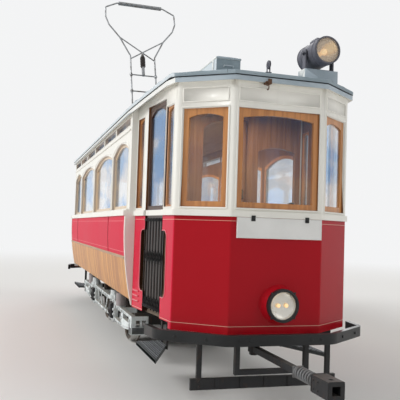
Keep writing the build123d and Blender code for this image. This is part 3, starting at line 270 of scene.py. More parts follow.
class Shape:
    """A piece while it is made: small bmeshes joined into one."""

    def __init__(self):
        self.bm = bmesh.new()

    def add(self, part, *places):
        """Join a small shape, set by points and matrices, of which the outermost comes first."""
        whole = Matrix()
        for place in places:
            whole = whole @ (place if isinstance(place, Matrix) else Matrix.Translation(place))
        mesh = bpy.data.meshes.new("part")
        part.to_mesh(mesh)
        mesh.transform(whole)
        self.bm.from_mesh(mesh)
        bpy.data.meshes.remove(mesh)

    def piece(self, name, material, slot, body="car"):
        """Turn the shape into the piece of that name, riding on a body."""
        bmesh.ops.recalc_face_normals(self.bm, faces=self.bm.faces[:])
        mesh = bpy.data.meshes.new(name)
        self.bm.to_mesh(mesh)
        self.bm.free()
        mesh.materials.append(material)
        mesh.polygons.foreach_set("use_smooth", [True] * len(mesh.polygons))
        mesh.set_sharp_from_angle(angle=math.radians(38))
        made = bpy.data.objects.new(name, mesh)
        scene.collection.objects.link(made)
        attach(made, body)
        return made


def at(place, toward=(0, 0, 1), turn=0.0):
    """Where a small shape goes: its Z turned toward a direction, then spun on it."""
    aim = Vector(toward).to_track_quat("Z", "Y").to_matrix().to_4x4()
    return Matrix.Translation(place) @ aim @ Matrix.Rotation(turn, 4, "Z")


def round_points(count, radius, first=0.0):
    """Places evenly round a circle, the first one so many steps along it."""
    angles = [math.tau * (i + first) / count for i in range(count)]
    return [(radius * math.cos(angle), radius * math.sin(angle)) for angle in angles]


def ease(bm, edges, width, segments=2):
    """Round some of a shape's edges."""
    bmesh.ops.bevel(
        bm, geom=edges, offset=width, segments=segments, profile=0.5, affect="EDGES", material=-1
    )


def stand(bm, sides, foot, head, height):
    """Add a many-sided bar that stands on the origin."""
    bmesh.ops.create_cone(
        bm, cap_ends=True, segments=sides, radius1=foot, radius2=head, depth=height,
        matrix=Matrix.Translation((0, 0, height / 2)),
    )


def hex_bolt(across, height):
    """A bolt's six-sided head on its washer, standing up Z."""
    bm = bmesh.new()
    stand(bm, 6, across / 2, across / 2, height)
    crown_edges = [e for e in bm.edges if min(v.co.z for v in e.verts) > height * 0.9]
    ease(bm, crown_edges, height * 0.25, 1)
    stand(bm, 12, across * 0.68, across * 0.62, height * 0.24)
    return bm


ends = {"front": -1, "rear": 1}
axle_y, axle_z = 0.915, 0.400
hub_face, bolt_ring = 0.535, 0.135
wheel_material, paint = new_paint("wheel_steel")
run = abs(paint.spot("Y")) - axle_y
reach = ((run * run) + (paint.spot("Z") - axle_z) ** 2) ** 0.5
polish = reach.between(0.369, 0.389, 0.003)
grime = paint.noise(9, 5).rise(0.35, 0.65)
disc = paint.mix(grime, (0.055, 0.048, 0.042), (0.115, 0.085, 0.062))
wheel_colour = paint.mix(polish, disc, (0.50, 0.49, 0.47))
surface(
    paint, wheel_colour, 0.78 - polish * 0.5, paint.noise(80, 4), 0.0015,
    Metallic=0.35 + polish * 0.6,
)
dress(wheel_material, "wheelset_front", "wheelset_rear")
for end_name, end in ends.items():
    bolts = Shape()
    for hand in (-1, 1):
        for y, z in round_points(8, bolt_ring, 0.5):
            place = (hand * hub_face, end * axle_y + y, axle_z + z)
            bolts.add(hex_bolt(0.030, 0.018), at(place, (hand, 0, 0)))
    bolts.piece(f"hub_bolts_{end_name}", wheel_material, "wheel_steel", f"wheelset_{end_name}")


# Truck: riveted plate side frames in light grey paint, gone chalky, with rust bleeding from the
# bolts and grime thrown up by the wheels. Bolts hold the pedestals, the ties and the end boxes.
def worn_edge(paint):
    """1 along outer edges, where hands, boots and stones knock the paint."""
    eased = paint.node("ShaderNodeBevel", {"samples": 4}, {"Radius": 0.006})
    true = paint.node("ShaderNodeNewGeometry", {}, {}, "Normal")
    dot = {"operation": "DOT_PRODUCT"}
    along = paint.node("ShaderNodeVectorMath", dot, {0: eased, 1: true}, "Value")
    return (1 - along).rise(0.03, 0.20)


def block(size, edge):
    """A rectangular block round the origin, its edges eased."""
    bm = bmesh.new()
    bmesh.ops.create_cube(bm, size=1, matrix=Matrix.Diagonal((*size, 1)))
    ease(bm, bm.edges[:], edge)
    return bm


def turned(section, steps=32):
    """A turned shape about Z, from the points (radius, height) of its section."""
    bm = bmesh.new()
    verts = [bm.verts.new((radius, 0, height)) for radius, height in section]
    edges = [bm.edges.new(pair) for pair in zip(verts, verts[1:])]
    bmesh.ops.spin(
        bm, geom=verts + edges, cent=(0, 0, 0), axis=(0, 0, 1), angle=math.tau, steps=steps,
        use_merge=True,
    )
    bmesh.ops.remove_doubles(bm, verts=bm.verts[:], dist=1e-5)
    bmesh.ops.recalc_face_normals(bm, faces=bm.faces[:])
    return bm


def iron(name, colour, dark, rust, dust, rough=0.62, shade_within=None):
    """Painted ironwork: grime and rust in patches, dust on top, and painted shade: black nearer the
    middle than the given reach.
    """
    material, paint = new_paint(name)
    if shade_within:
        outer = abs(paint.spot("X")).rise(shade_within - 0.02, shade_within)
        colour = paint.mix(outer, (0.020, 0.019, 0.018), colour)
        dark = paint.mix(outer, (0.012, 0.011, 0.010), dark)
    patches = paint.noise(5.5, 6, 0.62).rise(0.42, 0.70)
    stains = paint.noise(21, 5, 0.6, paint.stretched((1, 1, 0.35))).rise(0.56, 0.72)
    grit = paint.noise(140, 3)
    worn = worn_edge(paint) * paint.noise(34, 3).rise(0.38, 0.60)
    upper = paint.facing("Z").rise(0.3, 0.9)
    base = paint.mix(patches * 0.75, colour, dark)
    base = paint.mix(stains * rust, base, (0.17, 0.068, 0.028))
    base = paint.mix(worn * rust, base, (0.12, 0.055, 0.03))
    base = paint.mix(upper * dust, base, (0.30, 0.26, 0.21))
    surface(
        paint, base, rough + patches * 0.15, grit * 0.4 + patches, 0.0012, edge=0.004,
        Specular_IOR_Level=0.35,
    )
    return material


truck_grey = iron("truck_grey", (0.66, 0.70, 0.70), (0.36, 0.385, 0.385), 0.28, 0.12)
# Nearer the middle than 0.598 m the frame is painted black: painted shade under the car.
frame_grey = iron(
    "frame_grey", (0.74, 0.79, 0.79), (0.42, 0.450, 0.450), 0.22, 0.70, shade_within=0.598
)
dress(frame_grey, "truck_frame")
corners = [(end, hand) for end in (-1, 1) for hand in (-1, 1)]
frame_face = 0.785
bolts_at = [(axle_y + side, z) for side in (-0.125, 0.125) for z in (0.285, 0.36, 0.42, 0.52)]
bolts_at += [(y, 0.522) for y in (0.10, 0.28, 0.46, 0.64)]
bolts_at += [(y, 0.315) for y in (0.18, 0.45, 1.14, 1.46)]
bolts_at += [(y, 0.478) for y in (1.34, 1.48, 1.62)]
bolts_at += [(1.60, 0.33), (1.60, 0.40), (2.14, 0.400), (2.14, 0.445)]
rivets_at = [(1.70 + 0.055 * i, 0.484) for i in range(8)]
rivets_at += [(1.64 + 0.055 * i, 0.322 + 0.0006 * i * i) for i in range(8)]
truck_bolts = Shape()
bolt_head = hex_bolt(0.034, 0.020)
rivet_head = turned([(0, 0.006), (0.006, 0.005), (0.009, 0)], 10)
for end, hand in corners:
    for y, z in bolts_at:
        place = (hand * frame_face, end * y, z)
        truck_bolts.add(bolt_head, at(place, (hand, 0, 0), 0.3 * end * y))
    for y, z in rivets_at:
        truck_bolts.add(rivet_head, at((hand * frame_face, end * y, z), (hand, 0, 0)))
truck_bolts.piece("truck_bolts", truck_grey, "truck_grey")

stud_phase, tread_z = 210, 0.3395
chequer, paint = new_paint("chequer_plate")
slant = (paint.spot("X") + paint.spot("Z")) * stud_phase
cross = (paint.spot("X") - paint.spot("Z")) * stud_phase
ridge_highlight = paint.facing("Z").rise(0.8, 0.95) * paint.spot("Z").rise(tread_z, tread_z + 0.0025)
studs = abs(slant.wave() * cross.wave()).rise(0.35, 0.7)
grime = paint.noise(12, 5).rise(0.4, 0.7)
base = paint.mix(studs * 0.5 + grime * 0.3, (0.040, 0.044, 0.045), (0.18, 0.195, 0.200))
# The tops of the tread's ribs are painted pale grey: a painted highlight.
base = paint.mix(ridge_highlight * 0.85, base, (0.42, 0.44, 0.48))
surface(paint, base, 0.5, studs, 0.003, Metallic=0.2)
end_apron_x, end_apron_y, side_apron_x, side_apron_y = 0.6925, 2.221, 0.786, 2.150
aprons = Shape()
for end, hand in corners:
    end_place = (hand * end_apron_x, end * end_apron_y, 0.346)
    side_place = (hand * side_apron_x, end * side_apron_y, 0.340)
    aprons.add(block((0.165, 0.004, 0.068), 0.0012), end_place)
    aprons.add(block((0.004, 0.120, 0.068), 0.0012), side_place)
aprons.piece("apron_plates", chequer, "underframe_black")


# Axleboxes and springs: black cast boxes with a hinged lid, a light grey cast saddle over each, and
# coil springs in turned caps that carry the sole bars. One more stands at the end of each arm, its
# lower half in a turned sleeve.
def rod(radius, length, sides=16, edge=0.002):
    """A round bar along Z from the origin up, its two rims eased."""
    bm = bmesh.new()
    stand(bm, sides, radius, radius, length)
    ease(bm, [e for e in bm.edges if abs(e.verts[0].co.z - e.verts[1].co.z) < 1e-6], edge)
    return bm


def tube(points, radius, closed=False, rings=3):
    """A round bar that follows points, its ends closed."""
    curve = bpy.data.curves.new("run", "CURVE")
    curve.dimensions = "3D"
    curve.bevel_depth = radius
    curve.bevel_resolution = rings
    curve.use_fill_caps = True
    line = curve.splines.new("POLY")
    line.points.add(len(points) - 1)
    for spot, point in zip(line.points, points):
        spot.co = (*point, 1)
    line.use_cyclic_u = closed
    holder = bpy.data.objects.new("run", curve)
    mesh = bpy.data.meshes.new_from_object(holder)
    bm = bmesh.new()
    bm.from_mesh(mesh)
    bmesh.ops.remove_doubles(bm, verts=bm.verts[:], dist=1e-6)
    bpy.data.objects.remove(holder)
    bpy.data.meshes.remove(mesh)
    bpy.data.curves.remove(curve)
    return bm


def coil(radius, wire, low, high, turns):
    """A coil spring about Z, its end turns drawn flat."""
    points = []
    steps = int(turns * 14)
    for i in range(steps + 1):
        share = i / steps
        lift = min(1, max(0, (share * turns - 0.8) / (turns - 1.6)))
        angle = math.tau * turns * share
        height = low + wire + (high - low - 2 * wire) * lift
        points.append((radius * math.cos(angle), radius * math.sin(angle), height))
    return tube(points, wire, rings=2)


black_iron = iron(
    "underframe_black", (0.014, 0.0145, 0.016), (0.030, 0.029, 0.028), 0.16, 0.12, 0.55
)
sleeve_grey = iron("sleeve_grey", (0.36, 0.32, 0.32), (0.22, 0.19, 0.185), 0.3, 0.2)
dress(black_iron, "axleboxes")
spring_x, arm_y, lid_x = 0.760, 1.390, 0.816
frame_top, seat_top, sole_bottom, arm_top = 0.545, 0.650, 0.745, 0.500
coil_radius, wire, cap_radius = 0.043, 0.0115, 0.056
plate_thick, foot_thick = 0.012, 0.014
saddle = block((0.050, 0.300, 0.040), 0.008)
rib_height = 0.090
rib = block((0.046, 0.018, rib_height), 0.004)
cap = turned(
    [
        (0, 0.105), (0.050, 0.105), (0.056, 0.097), (0.056, 0.046), (0.074, 0.030), (0.074, 0),
        (0, 0),
    ],
    28,
)
plate = rod(cap_radius, plate_thick, 28, 0.003)
sleeve = turned(
    [
        (0.057, 0), (0.060, 0.002), (0.060, 0.140), (0.063, 0.143), (0.063, 0.152), (0.057, 0.152),
        (0.057, 0),
    ],
    28,
)
lid_boss = turned([(0, 0.020), (0.030, 0.018), (0.046, 0.006), (0.050, 0), (0, 0)], 24)
springs, spring_caps, sleeves, box_lids = Shape(), Shape(), Shape(), Shape()
for end, hand in corners:
    near, far = (hand * spring_x, end * axle_y, 0), (hand * spring_x, end * arm_y, 0)
    spring_caps.add(saddle, near, (0, 0, frame_top + 0.021))
    spring_caps.add(cap, near, (0, 0, frame_top))
    for y, height in ((-0.105, 0.062), (-0.060, 0.088), (0.060, 0.088), (0.105, 0.062)):
        shrunk = Matrix.Diagonal((1, 1, height / rib_height, 1))
        spring_caps.add(rib, near, (0, y, frame_top + height / 2), shrunk)
    for place, low, turns in ((near, seat_top, 3.2), (far, arm_top + foot_thick, 6.5)):
        springs.add(coil(coil_radius, wire, low, sole_bottom - plate_thick, turns), place)
        spring_caps.add(plate, place, (0, 0, sole_bottom - plate_thick))
    spring_caps.add(rod(cap_radius, foot_thick, 28, 0.003), far, (0, 0, arm_top))
    spring_caps.add(rod(0.011, 0.235, 12), far, (0, 0, arm_top))
    sleeves.add(sleeve, far, (0, 0, arm_top + foot_thick))
    lid = (hand * lid_x, end * axle_y, axle_z)
    box_lids.add(block((0.012, 0.150, 0.120), 0.004), lid)
    box_lids.add(lid_boss, lid, at((hand * 0.006, 0, 0), (hand, 0, 0)))
    box_lids.add(rod(0.009, 0.150, 12), lid, at((0, -0.075, 0.066), (0, 1, 0)))
    for y in (-0.085, 0.085):
        for z in (-0.07, 0.07):
            box_lids.add(hex_bolt(0.022, 0.014), lid, at((0, y, z), (hand, 0, 0)))
spring_caps.piece("spring_caps", truck_grey, "truck_grey")
sleeves.piece("spring_sleeves", sleeve_grey, "truck_grey")
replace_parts(springs.piece("coil_springs", black_iron, "truck_grey"), "springs")
box_lids.piece("axlebox_lids", black_iron, "underframe_black")


# Motors and brake gear: closed cast cases between the axles, oily and dusty, and iron blocks with
# hangers against each wheel.
oily_iron = iron("oily_iron", (0.040, 0.038, 0.036), (0.085, 0.068, 0.050), 0.25, 0.45, 0.50)
dress(oily_iron, "motors", "brake_rigging")
motor_y, motor_z = 0.4685, 0.400
motor_parts = Shape()
for end in (-1, 1):
    middle = (0, end * motor_y, motor_z)
    for x in (-0.24, -0.12, 0, 0.12, 0.24):
        motor_parts.add(block((0.020, 0.700, 0.450), 0.006), middle, (x, 0, 0))
    motor_parts.add(block((0.600, 0.745, 0.030), 0.006), middle)
    for x in (-0.27, -0.18, -0.06, 0.06, 0.18, 0.27):
        for y in (-0.355, 0.355):
            motor_parts.add(hex_bolt(0.026, 0.016), middle, at((x, y, 0.015)))
motor_parts.piece("motor_ribs", oily_iron, "underframe_black")


# Underframe: rolled steel sole bars, cross members and platform bearers, brushed black and dusty
# from the road, riveted where they cross.
dress(black_iron, "underframe", "coupler_stirrups", "lifeguards")
sole_face, rivet_pitch = 0.805, 0.2
rivets = Shape()
rivet = turned([(0, 0.007), (0.006, 0.0055), (0.010, 0)], 10)
for end, hand in corners:
    for i in range(14):
        for z in (0.770, 0.815):
            place = (hand * sole_face, end * (0.12 + rivet_pitch * i), z)
            rivets.add(rivet, at(place, (hand, 0, 0)))
rivets.piece("sole_bar_rivets", black_iron, "underframe_black")


# Floors: worn bare boards laid along the car and nailed to its cross members, greyed by boots, with
# dirt in the joints.
def board_by_board(paint, colour, count, hue, spread):
    """Each board its own tone and value of one colour."""
    tone = paint.node(
        "ShaderNodeTexWhiteNoise", {"noise_dimensions": "1D"}, {"W": count.whole()}, "Value"
    )
    values = {"Value": 0.80 + tone * 0.36, "Hue": hue + tone * spread, "Color": colour}
    return paint.node("ShaderNodeHueSaturation", {}, values)


floor_board_width = 0.094
floor_boards, paint = new_paint("floor_boards")
count = paint.spot("X") / floor_board_width
inside = count.rest().between(0.025, 0.975, 0.025)
lines = paint.noise(70, 6, 0.65, paint.stretched((1, 0.05, 1)))
broad = paint.noise(6, 4, 0.6, paint.stretched((1, 0.05, 1)))
grain = lines.rise(0.3, 0.75) * 0.6 + broad * 0.4
base = paint.mix(grain, (0.09, 0.065, 0.043), (0.17, 0.125, 0.085))
base = board_by_board(paint, base, count, 0.492, 0.016)
base = paint.mix(paint.noise(3, 5).rise(0.45, 0.75) * 0.3, base, (0.20, 0.18, 0.15))
base = paint.mix(1 - inside, base, (0.02, 0.015, 0.01))
surface(paint, base, 0.75 + lines * 0.2, inside + lines * 0.15, 0.0016)
dress(floor_boards, "saloon_floor", "platform_floors")


# Side panels: steel sheet in crimson enamel, screwed to oak posts under flat cover strips. Inside,
# the same walls are varnished matchboard.
def inward(paint, fold=0.0):
    """1 on faces that look towards the middle of the car, or of a platform fold from the middle."""
    across = paint.spot("X") * paint.facing("X")
    if fold:
        y = paint.spot("Y")
        across = across + (y - y.math("SIGN", y) * fold) * paint.facing("Y")
    return 1 - across.rise(-0.02, 0.02)


def wood_tone(paint, pale, dark, along="Z", fine=1.0):
    """Colour and relief of varnished timber with its grain along one axis."""
    spot = paint.stretched([0.055 if axis == along else 1.0 for axis in "XYZ"])
    rings = paint.noise(16 * fine, 3, 0.5, spot)
    lines = paint.noise(95 * fine, 5, 0.7, spot)
    flame = ((rings * 26).wave() * 0.5 + 0.5) * 0.45 + lines * 0.55
    return paint.mix(flame, dark, pale), lines


def timber(name, pale, dark, along, rough, spread, depth, fine=1.0, coat=0.0):
    """Timber of one tone, a little rougher in its grain."""
    material, paint = new_paint(name)
    tone, relief = wood_tone(paint, pale, dark, along, fine)
    surface(paint, tone, rough + relief * spread, relief, depth, Coat_Weight=coat)
    return material


def enamel(paint, colour, rough, dust, shine, coat, dust_top=1.15):
    """Coach paint: faint brush ripple and mottling, and road dust towards the wheels."""
    mottle = paint.noise(1.7, 4)
    fine = paint.noise(26, 3)
    low = 1 - paint.spot("Z").rise(0.45, dust_top)
    film = low * paint.noise(7, 6, 0.65, paint.stretched((1, 1, 0.3))).rise(0.35, 0.8) * dust
    values = {"Value": 0.93 + mottle * 0.14, "Color": colour}
    base = paint.node("ShaderNodeHueSaturation", {}, values)
    base = paint.mix(film, base, (0.33, 0.27, 0.21))
    surface(
        paint, base, rough + mottle * 0.10 + film * 0.5, fine + mottle * 3, 0.0006,
        Coat_Weight=coat, Specular_IOR_Level=shine,
    )


crimson = (0.62, 0.010, 0.045)
oak_pale, oak_dark = (0.30, 0.135, 0.055), (0.13, 0.050, 0.020)
saloon_half, waist_z, belt_z = 2.800, 1.157, 1.567
panel_seam, panel_low, panel_high = 1.72, 1.171, 1.553


def within(paint, inset):
    """1 on the side's three panels but for a margin along their edges."""
    y, z = abs(paint.spot("Y")), paint.spot("Z")
    along = abs(y - panel_seam).over(inset) * (saloon_half - inset - y).over(0)
    return along * (z - panel_low).over(inset) * (panel_high - z).over(inset)


side_red, paint = new_paint("side_red")
lining = within(paint, 0.036) - within(paint, 0.041)
outer = paint.mix(lining * 0.6, crimson, (0.80, 0.36, 0.36))
inner, _ = wood_tone(paint, oak_pale, oak_dark)
enamel(paint, paint.mix(inward(paint), outer, inner), 0.34, 0.04, 0.03, 0)
dress(side_red, "side_panels")
# The cover strips are painted a darker red than the panels: painted shade along the panel joints.
shaded_cover_red, paint = new_paint("shaded_cover_red")
enamel(paint, (0.30, 0.004, 0.015), 0.34, 0.04, 0.03, 0)
waist_wood = timber("waist_wood", (0.50, 0.34, 0.21), (0.30, 0.19, 0.11), "Y", 0.42, 0.2, 0.0008)


def side_x(z):
    """The bowed outer face of the lower side: one arc through the belt, the waist and the foot."""
    (ax, az), (bx, bz), (cx, cz) = (1.000, belt_z), (0.986, waist_z), (0.922, 0.753)
    d = 2 * (ax * (bz - cz) + bx * (cz - az) + cx * (az - bz))
    a2, b2, c2 = ax**2 + az**2, bx**2 + bz**2, cx**2 + cz**2
    ux = (a2 * (bz - cz) + b2 * (cz - az) + c2 * (az - bz)) / d
    uz = (a2 * (cx - bx) + b2 * (ax - cx) + c2 * (bx - ax)) / d
    radius = math.hypot(ax - ux, az - uz)
    return ux + math.sqrt(radius**2 - (z - uz) ** 2)


def bowed(width, thick, low, high, rows, edge):
    """An upright strip that follows the side's bow: its width along Y, its back on the side."""
    bm = bmesh.new()
    bmesh.ops.create_grid(bm, x_segments=1, y_segments=rows, size=0.5)
    for vert in bm.verts:
        z = low + (high - low) * (vert.co.y + 0.5)
        vert.co = Vector((side_x(z), vert.co.x * width, z))
    bmesh.ops.recalc_face_normals(bm, faces=bm.faces[:])
    if bm.faces[:][0].normal.x < 0:
        bmesh.ops.reverse_faces(bm, faces=bm.faces[:])
    bmesh.ops.solidify(bm, geom=bm.faces[:], thickness=-thick)
    bmesh.ops.recalc_face_normals(bm, faces=bm.faces[:])
    upright = [e for e in bm.edges if abs(e.verts[0].co.y - e.verts[1].co.y) < 1e-6]
    ease(bm, [e for e in upright if e.calc_length() > thick * 1.5], edge, 1)
    return bm


def moulding(path, section):
    """A strip of one section bent round a level path, its section given as (outward, up)."""
    bm = bmesh.new()
    rings = []
    for i, point in enumerate(path):
        before = (point - path[i - 1]).normalized() if i else (path[1] - point).normalized()
        after = (path[i + 1] - point).normalized() if i + 1 < len(path) else before
        mean = (before + after).normalized()
        out = Vector((mean.y, -mean.x, 0))
        out *= 1 / out.dot(Vector((after.y, -after.x, 0)))
        places = [point + out * reach + Vector((0, 0, up)) for reach, up in section]
        rings.append([bm.verts.new(place) for place in places])
    loops = [[bm.edges.new(pair) for pair in zip(ring, ring[1:] + ring[:1])] for ring in rings]
    for near, far in zip(loops, loops[1:]):
        bmesh.ops.bridge_loops(bm, edges=near + far)
    for loop in (loops[0], loops[-1]):
        bmesh.ops.contextual_create(bm, geom=loop)
    bmesh.ops.recalc_face_normals(bm, faces=bm.faces[:])
    return bm


sides = [Matrix(), Matrix.Diagonal((-1, 1, 1, 1))]
saloon_path = [Vector((0, -saloon_half, 0)), Vector((0, saloon_half, 0))]
strip = bowed(0.016, 0.0035, waist_z + 0.004, belt_z - 0.001, 8, 0.0012)
half_round = [
    (-0.004, -0.014), (0.006, -0.014), (0.011, -0.008), (0.013, 0.0), (0.011, 0.008),
    (0.006, 0.014), (-0.004, 0.014),
]
waist_strip = moulding(saloon_path, half_round)
cover_strips, waist_strips = Shape(), Shape()
for side in sides:
    for y in (-panel_seam, panel_seam):
        cover_strips.add(strip, side, (0, y, 0))
    waist_strips.add(waist_strip, side, (side_x(waist_z), 0, waist_z))
cover_strips.piece("panel_cover_strips", shaded_cover_red, "side_red")
waist_strips.piece("waist_mouldings", waist_wood, "tan_boards")


# Skirt: some eighty upright boards a side in clear varnish, gone orange-tan in the sun, nailed
# edge to edge over the framing, which shows as a dark line in each joint.
board_width, skirt_foot = 0.070, 0.757
tan_boards, paint = new_paint("tan_boards")
count = (paint.spot("Y") + 10 * board_width) / board_width
base, relief = wood_tone(paint, (0.68, 0.320, 0.095), (0.44, 0.180, 0.046))
base = board_by_board(paint, base, count, 0.494, 0.014)
streaks = paint.noise(9, 5, 0.6, paint.stretched((1, 1, 0.15))).rise(0.4, 0.7)
streaks = (1 - paint.spot("Z").rise(0.76, 0.98)) * streaks
base = paint.mix(streaks * 0.35, base, (0.24, 0.13, 0.07))
surface(paint, base, 0.40 + relief * 0.22, relief, 0.0010, Coat_Weight=0.15)
joint_dark, paint = new_paint("board_joint")
tone, relief = wood_tone(paint, (0.17, 0.085, 0.035), (0.09, 0.042, 0.02))
surface(paint, tone, 0.8, relief, 0.001)
dress(joint_dark, "skirt_boards")
skirt = Shape()
board = bowed(board_width - 0.0035, 0.006, skirt_foot, waist_z - 0.012, 5, 0.0018)
for side in sides:
    for i in range(-40, 40):
        skirt.add(board, side, (0, (i + 0.5) * board_width, 0))
skirt.piece("skirt_battens", tan_boards, "tan_boards")


# Cream woodwork: posts, belt rail, window walls and the ends' upper frames, in off-white enamel
# outside and varnished oak inside, with thin grime under the rails.
cream = (0.83, 0.815, 0.755)
platform_fold = 3.2


def cream_paint(name, fold=None):
    """Off-white coach paint, with varnished oak on the faces that look inside."""
    material, paint = new_paint(name)
    colour = cream
    if fold is not None:
        inner, _ = wood_tone(paint, oak_pale, oak_dark)
        colour = paint.mix(inward(paint, fold), cream, inner)
    streak = paint.noise(11, 5, 0.6, paint.stretched((1, 1, 0.12))).rise(0.50, 0.80)
    colour = paint.mix(streak * 0.12, colour, (0.42, 0.39, 0.34))
    enamel(paint, colour, 0.30, 0.03, 0.25, 0.08, dust_top=1.4)
    return material


cream_outside = cream_paint("cream")
cream_saloon = cream_paint("cream_saloon", 0.0)
cream_platform = cream_paint("cream_platform", platform_fold)
dress(cream_outside, "end_posts", "belt_rail")
dress(cream_saloon, "window_walls")
face_y, corner_y, corner_x, front_half = 4.190, 3.895, 0.786, 0.396


def wall(end, hand, face, depth=0.0):
    """A platform wall's own frame: X along it from its outer corner, Y up, Z out of it."""
    start = Vector((hand * corner_x, end * corner_y, 0))
    far = Vector((hand * 0.912, end * saloon_half, 0))
    if face == "facet":
        far = Vector((hand * front_half, end * face_y, 0))
    if face == "front":
        start, far = Vector((0, end * face_y, 0)), Vector((hand * front_half, end * face_y, 0))
    along = (far - start).normalized()
    out = Vector((along.y, -along.x, 0))
    if out.dot(start) < 0:
        out.negate()
    turn = Matrix((along, Vector((0, 0, 1)), out)).transposed().to_4x4()
    return Matrix.Translation(start - out * depth) @ turn


def bead(low, high, thick, corner=0.004):
    """A thin round bar bent to an upright rectangle with rounded corners."""
    (x0, y0), (x1, y1) = low, high
    x0, y0, x1, y1 = x0 + corner, y0 + corner, x1 - corner, y1 - corner
    points = []
    for quarter, (x, y) in enumerate(((x1, y1), (x0, y1), (x0, y0), (x1, y0))):
        for i in range(4):
            angle = math.tau * (quarter + i / 3) / 4
            points.append((x + corner * math.cos(angle), y + corner * math.sin(angle), 0))
    return tube(points, thick, True)


facet_length = math.hypot(corner_x - front_half, face_y - corner_y)
fascia_low, fascia_high = 2.495, 2.608
sash_low, sash_high, side_low, side_high = 1.630, 2.453, 1.632, 2.508
beads = Shape()
for end in (-1, 1):
    front = wall(end, 1, "front")
    beads.add(bead((-0.356, fascia_low), (0.356, fascia_high), 0.006), front)
    beads.add(bead((-0.366, sash_low), (0.366, sash_high), 0.006), front)
for end, hand in corners:
    facet, side = wall(end, hand, "facet"), wall(end, hand, "side")
    beads.add(bead((0.051, fascia_low), (facet_length - 0.051, fascia_high), 0.006), facet)
    beads.add(bead((0.041, sash_low), (facet_length - 0.041, sash_high), 0.006), facet)
    beads.add(bead((0.843, side_low), (1.047, side_high), 0.005), side)
    beads.add(bead((0.067, side_low), (0.262, side_high), 0.005), side)
beads.piece("platform_beads", cream_outside, "cream")

wall_face, half_post, wide, narrow = 0.965, 0.042, 1.590, 0.980
spring_line, arch_rise, margin = 2.250, 0.096, 0.012
light_pitch, light_half = 0.925, 0.440
windows = [(half_post + wide / 2, wide), (3 * half_post + wide + narrow / 2, narrow)]
drip = moulding(
    [Vector((0, -2.78, 0)), Vector((0, 2.78, 0))],
    [(-0.003, -0.008), (0.010, -0.008), (0.014, 0), (0.004, 0.010), (-0.003, 0.010)],
)
side_beads = Shape()
for hand in (-1, 1):
    plane = Matrix(((0, 0, 1, hand * wall_face), (1, 0, 0, 0), (0, 1, 0, 0), (0, 0, 0, 1)))
    for away, width in windows:
        for middle in (-away, away):
            half = width / 2 + margin
            foot = [(middle + half, 1.628, 0), (middle - half, 1.628, 0)]
            arch = [
                (middle + half * math.cos(a), spring_line + arch_rise * math.sin(a), 0)
                for a in [math.pi * i / 24 for i in range(25)]
            ]
            side_beads.add(tube([foot[0], *arch, foot[1]], 0.007), plane)
    for i in range(6):
        y = (i - 2.5) * light_pitch
        side_beads.add(bead((y - light_half, 2.463), (y + light_half, 2.552), 0.005), plane)
    side_beads.add(drip, Matrix.Diagonal((hand, 1, 1, 1)), (wall_face, 0, 2.420))
side_beads.piece("window_beads", cream_outside, "cream")

sill = [
    (-0.004, -0.012), (0.012, -0.012), (0.022, -0.004), (0.022, 0.004), (0.010, 0.012),
    (-0.004, 0.012),
]
sill_rail = Shape()
for side in sides:
    sill_rail.add(moulding(saloon_path, sill), side, (0.968, 0, 1.623))
sill_rail.piece("sill_rails", cream_outside, "cream")


# Sashes: varnished frames with low arched heads, screwed into the openings, orange-brown in the
# ends, with painted sunlight making them paler along the sides.
honey, paint = new_paint("honey_varnish")
across = abs(paint.spot("X")).rise(0.915, 0.930)
end_tone, relief = wood_tone(paint, (0.62, 0.270, 0.078), (0.37, 0.135, 0.036), "Z", 0.8)
# A paler honey on the sides: painted sunlight.
sunlit_side_tone, _ = wood_tone(paint, (0.78, 0.62, 0.43), (0.58, 0.42, 0.26), "Z", 0.8)
tone = paint.mix(across, end_tone, sunlit_side_tone)
surface(paint, tone, 0.28 + relief * 0.16, relief, 0.0006, Coat_Weight=0.3)
dress(honey, "sashes")


# Glass: clear plate, smeared as old glass is, puttied into the sashes. Its blue colour, with paler
# patches, is a painted reflection of sky and cloud.
def clear_glass(name, deep, pale, least, metal=0.9, power=2.4):
    """Plate glass in two tints mixed in broad patches, on the windows a painted reflection of sky
    and cloud, that reflects more the flatter it is looked along.
    """
    material, paint = new_paint(name)
    flat = paint.node("ShaderNodeLayerWeight", {}, {"Blend": 0.5}, "Facing")
    smear = paint.noise(3, 4).rise(0.4, 0.8)
    drift = paint.noise(1.3, 4, 0.55, paint.stretched((1, 0.7, 1.5))).rise(0.42, 0.60)
    cover = least + flat ** power * (1 - least) + smear * 0.02
    surface(
        paint, paint.mix(drift, deep, pale), 0.02 + smear * 0.04, edge=0.0005, Alpha=cover,
        Metallic=metal,
    )
    return material


# Deep blue and near-white tints on the metallic glass: a painted reflection of blue sky and clouds.
window_glass = clear_glass("glass", (0.30, 0.58, 0.95), (0.96, 0.98, 1.0), 0.03)
dress(window_glass, *[name for name in nodes if "glass" in name])


# Dashes: sheet steel bent round each platform, crimson outside with a fine cream line at top and
# foot, and varnished matchboard inside. Rolled beads edge the hand niches, and three pressed ribs
# stiffen the panel between each entrance and the saloon.
shaded_crimson, line_colour = (0.40, 0.0065, 0.014), (0.70, 0.42, 0.33)
dash_red, paint = new_paint("dash_red")
z = paint.spot("Z")
fine_lines = z.line(0.703, 0.0015, 0.0025) + z.line(1.533, 0.0012, 0.0022)
# The matchboard inside the dash is nearly black: painted shade inside the platforms and the hand
# niches.
inner, _ = wood_tone(paint, (0.045, 0.020, 0.010), (0.020, 0.009, 0.005))
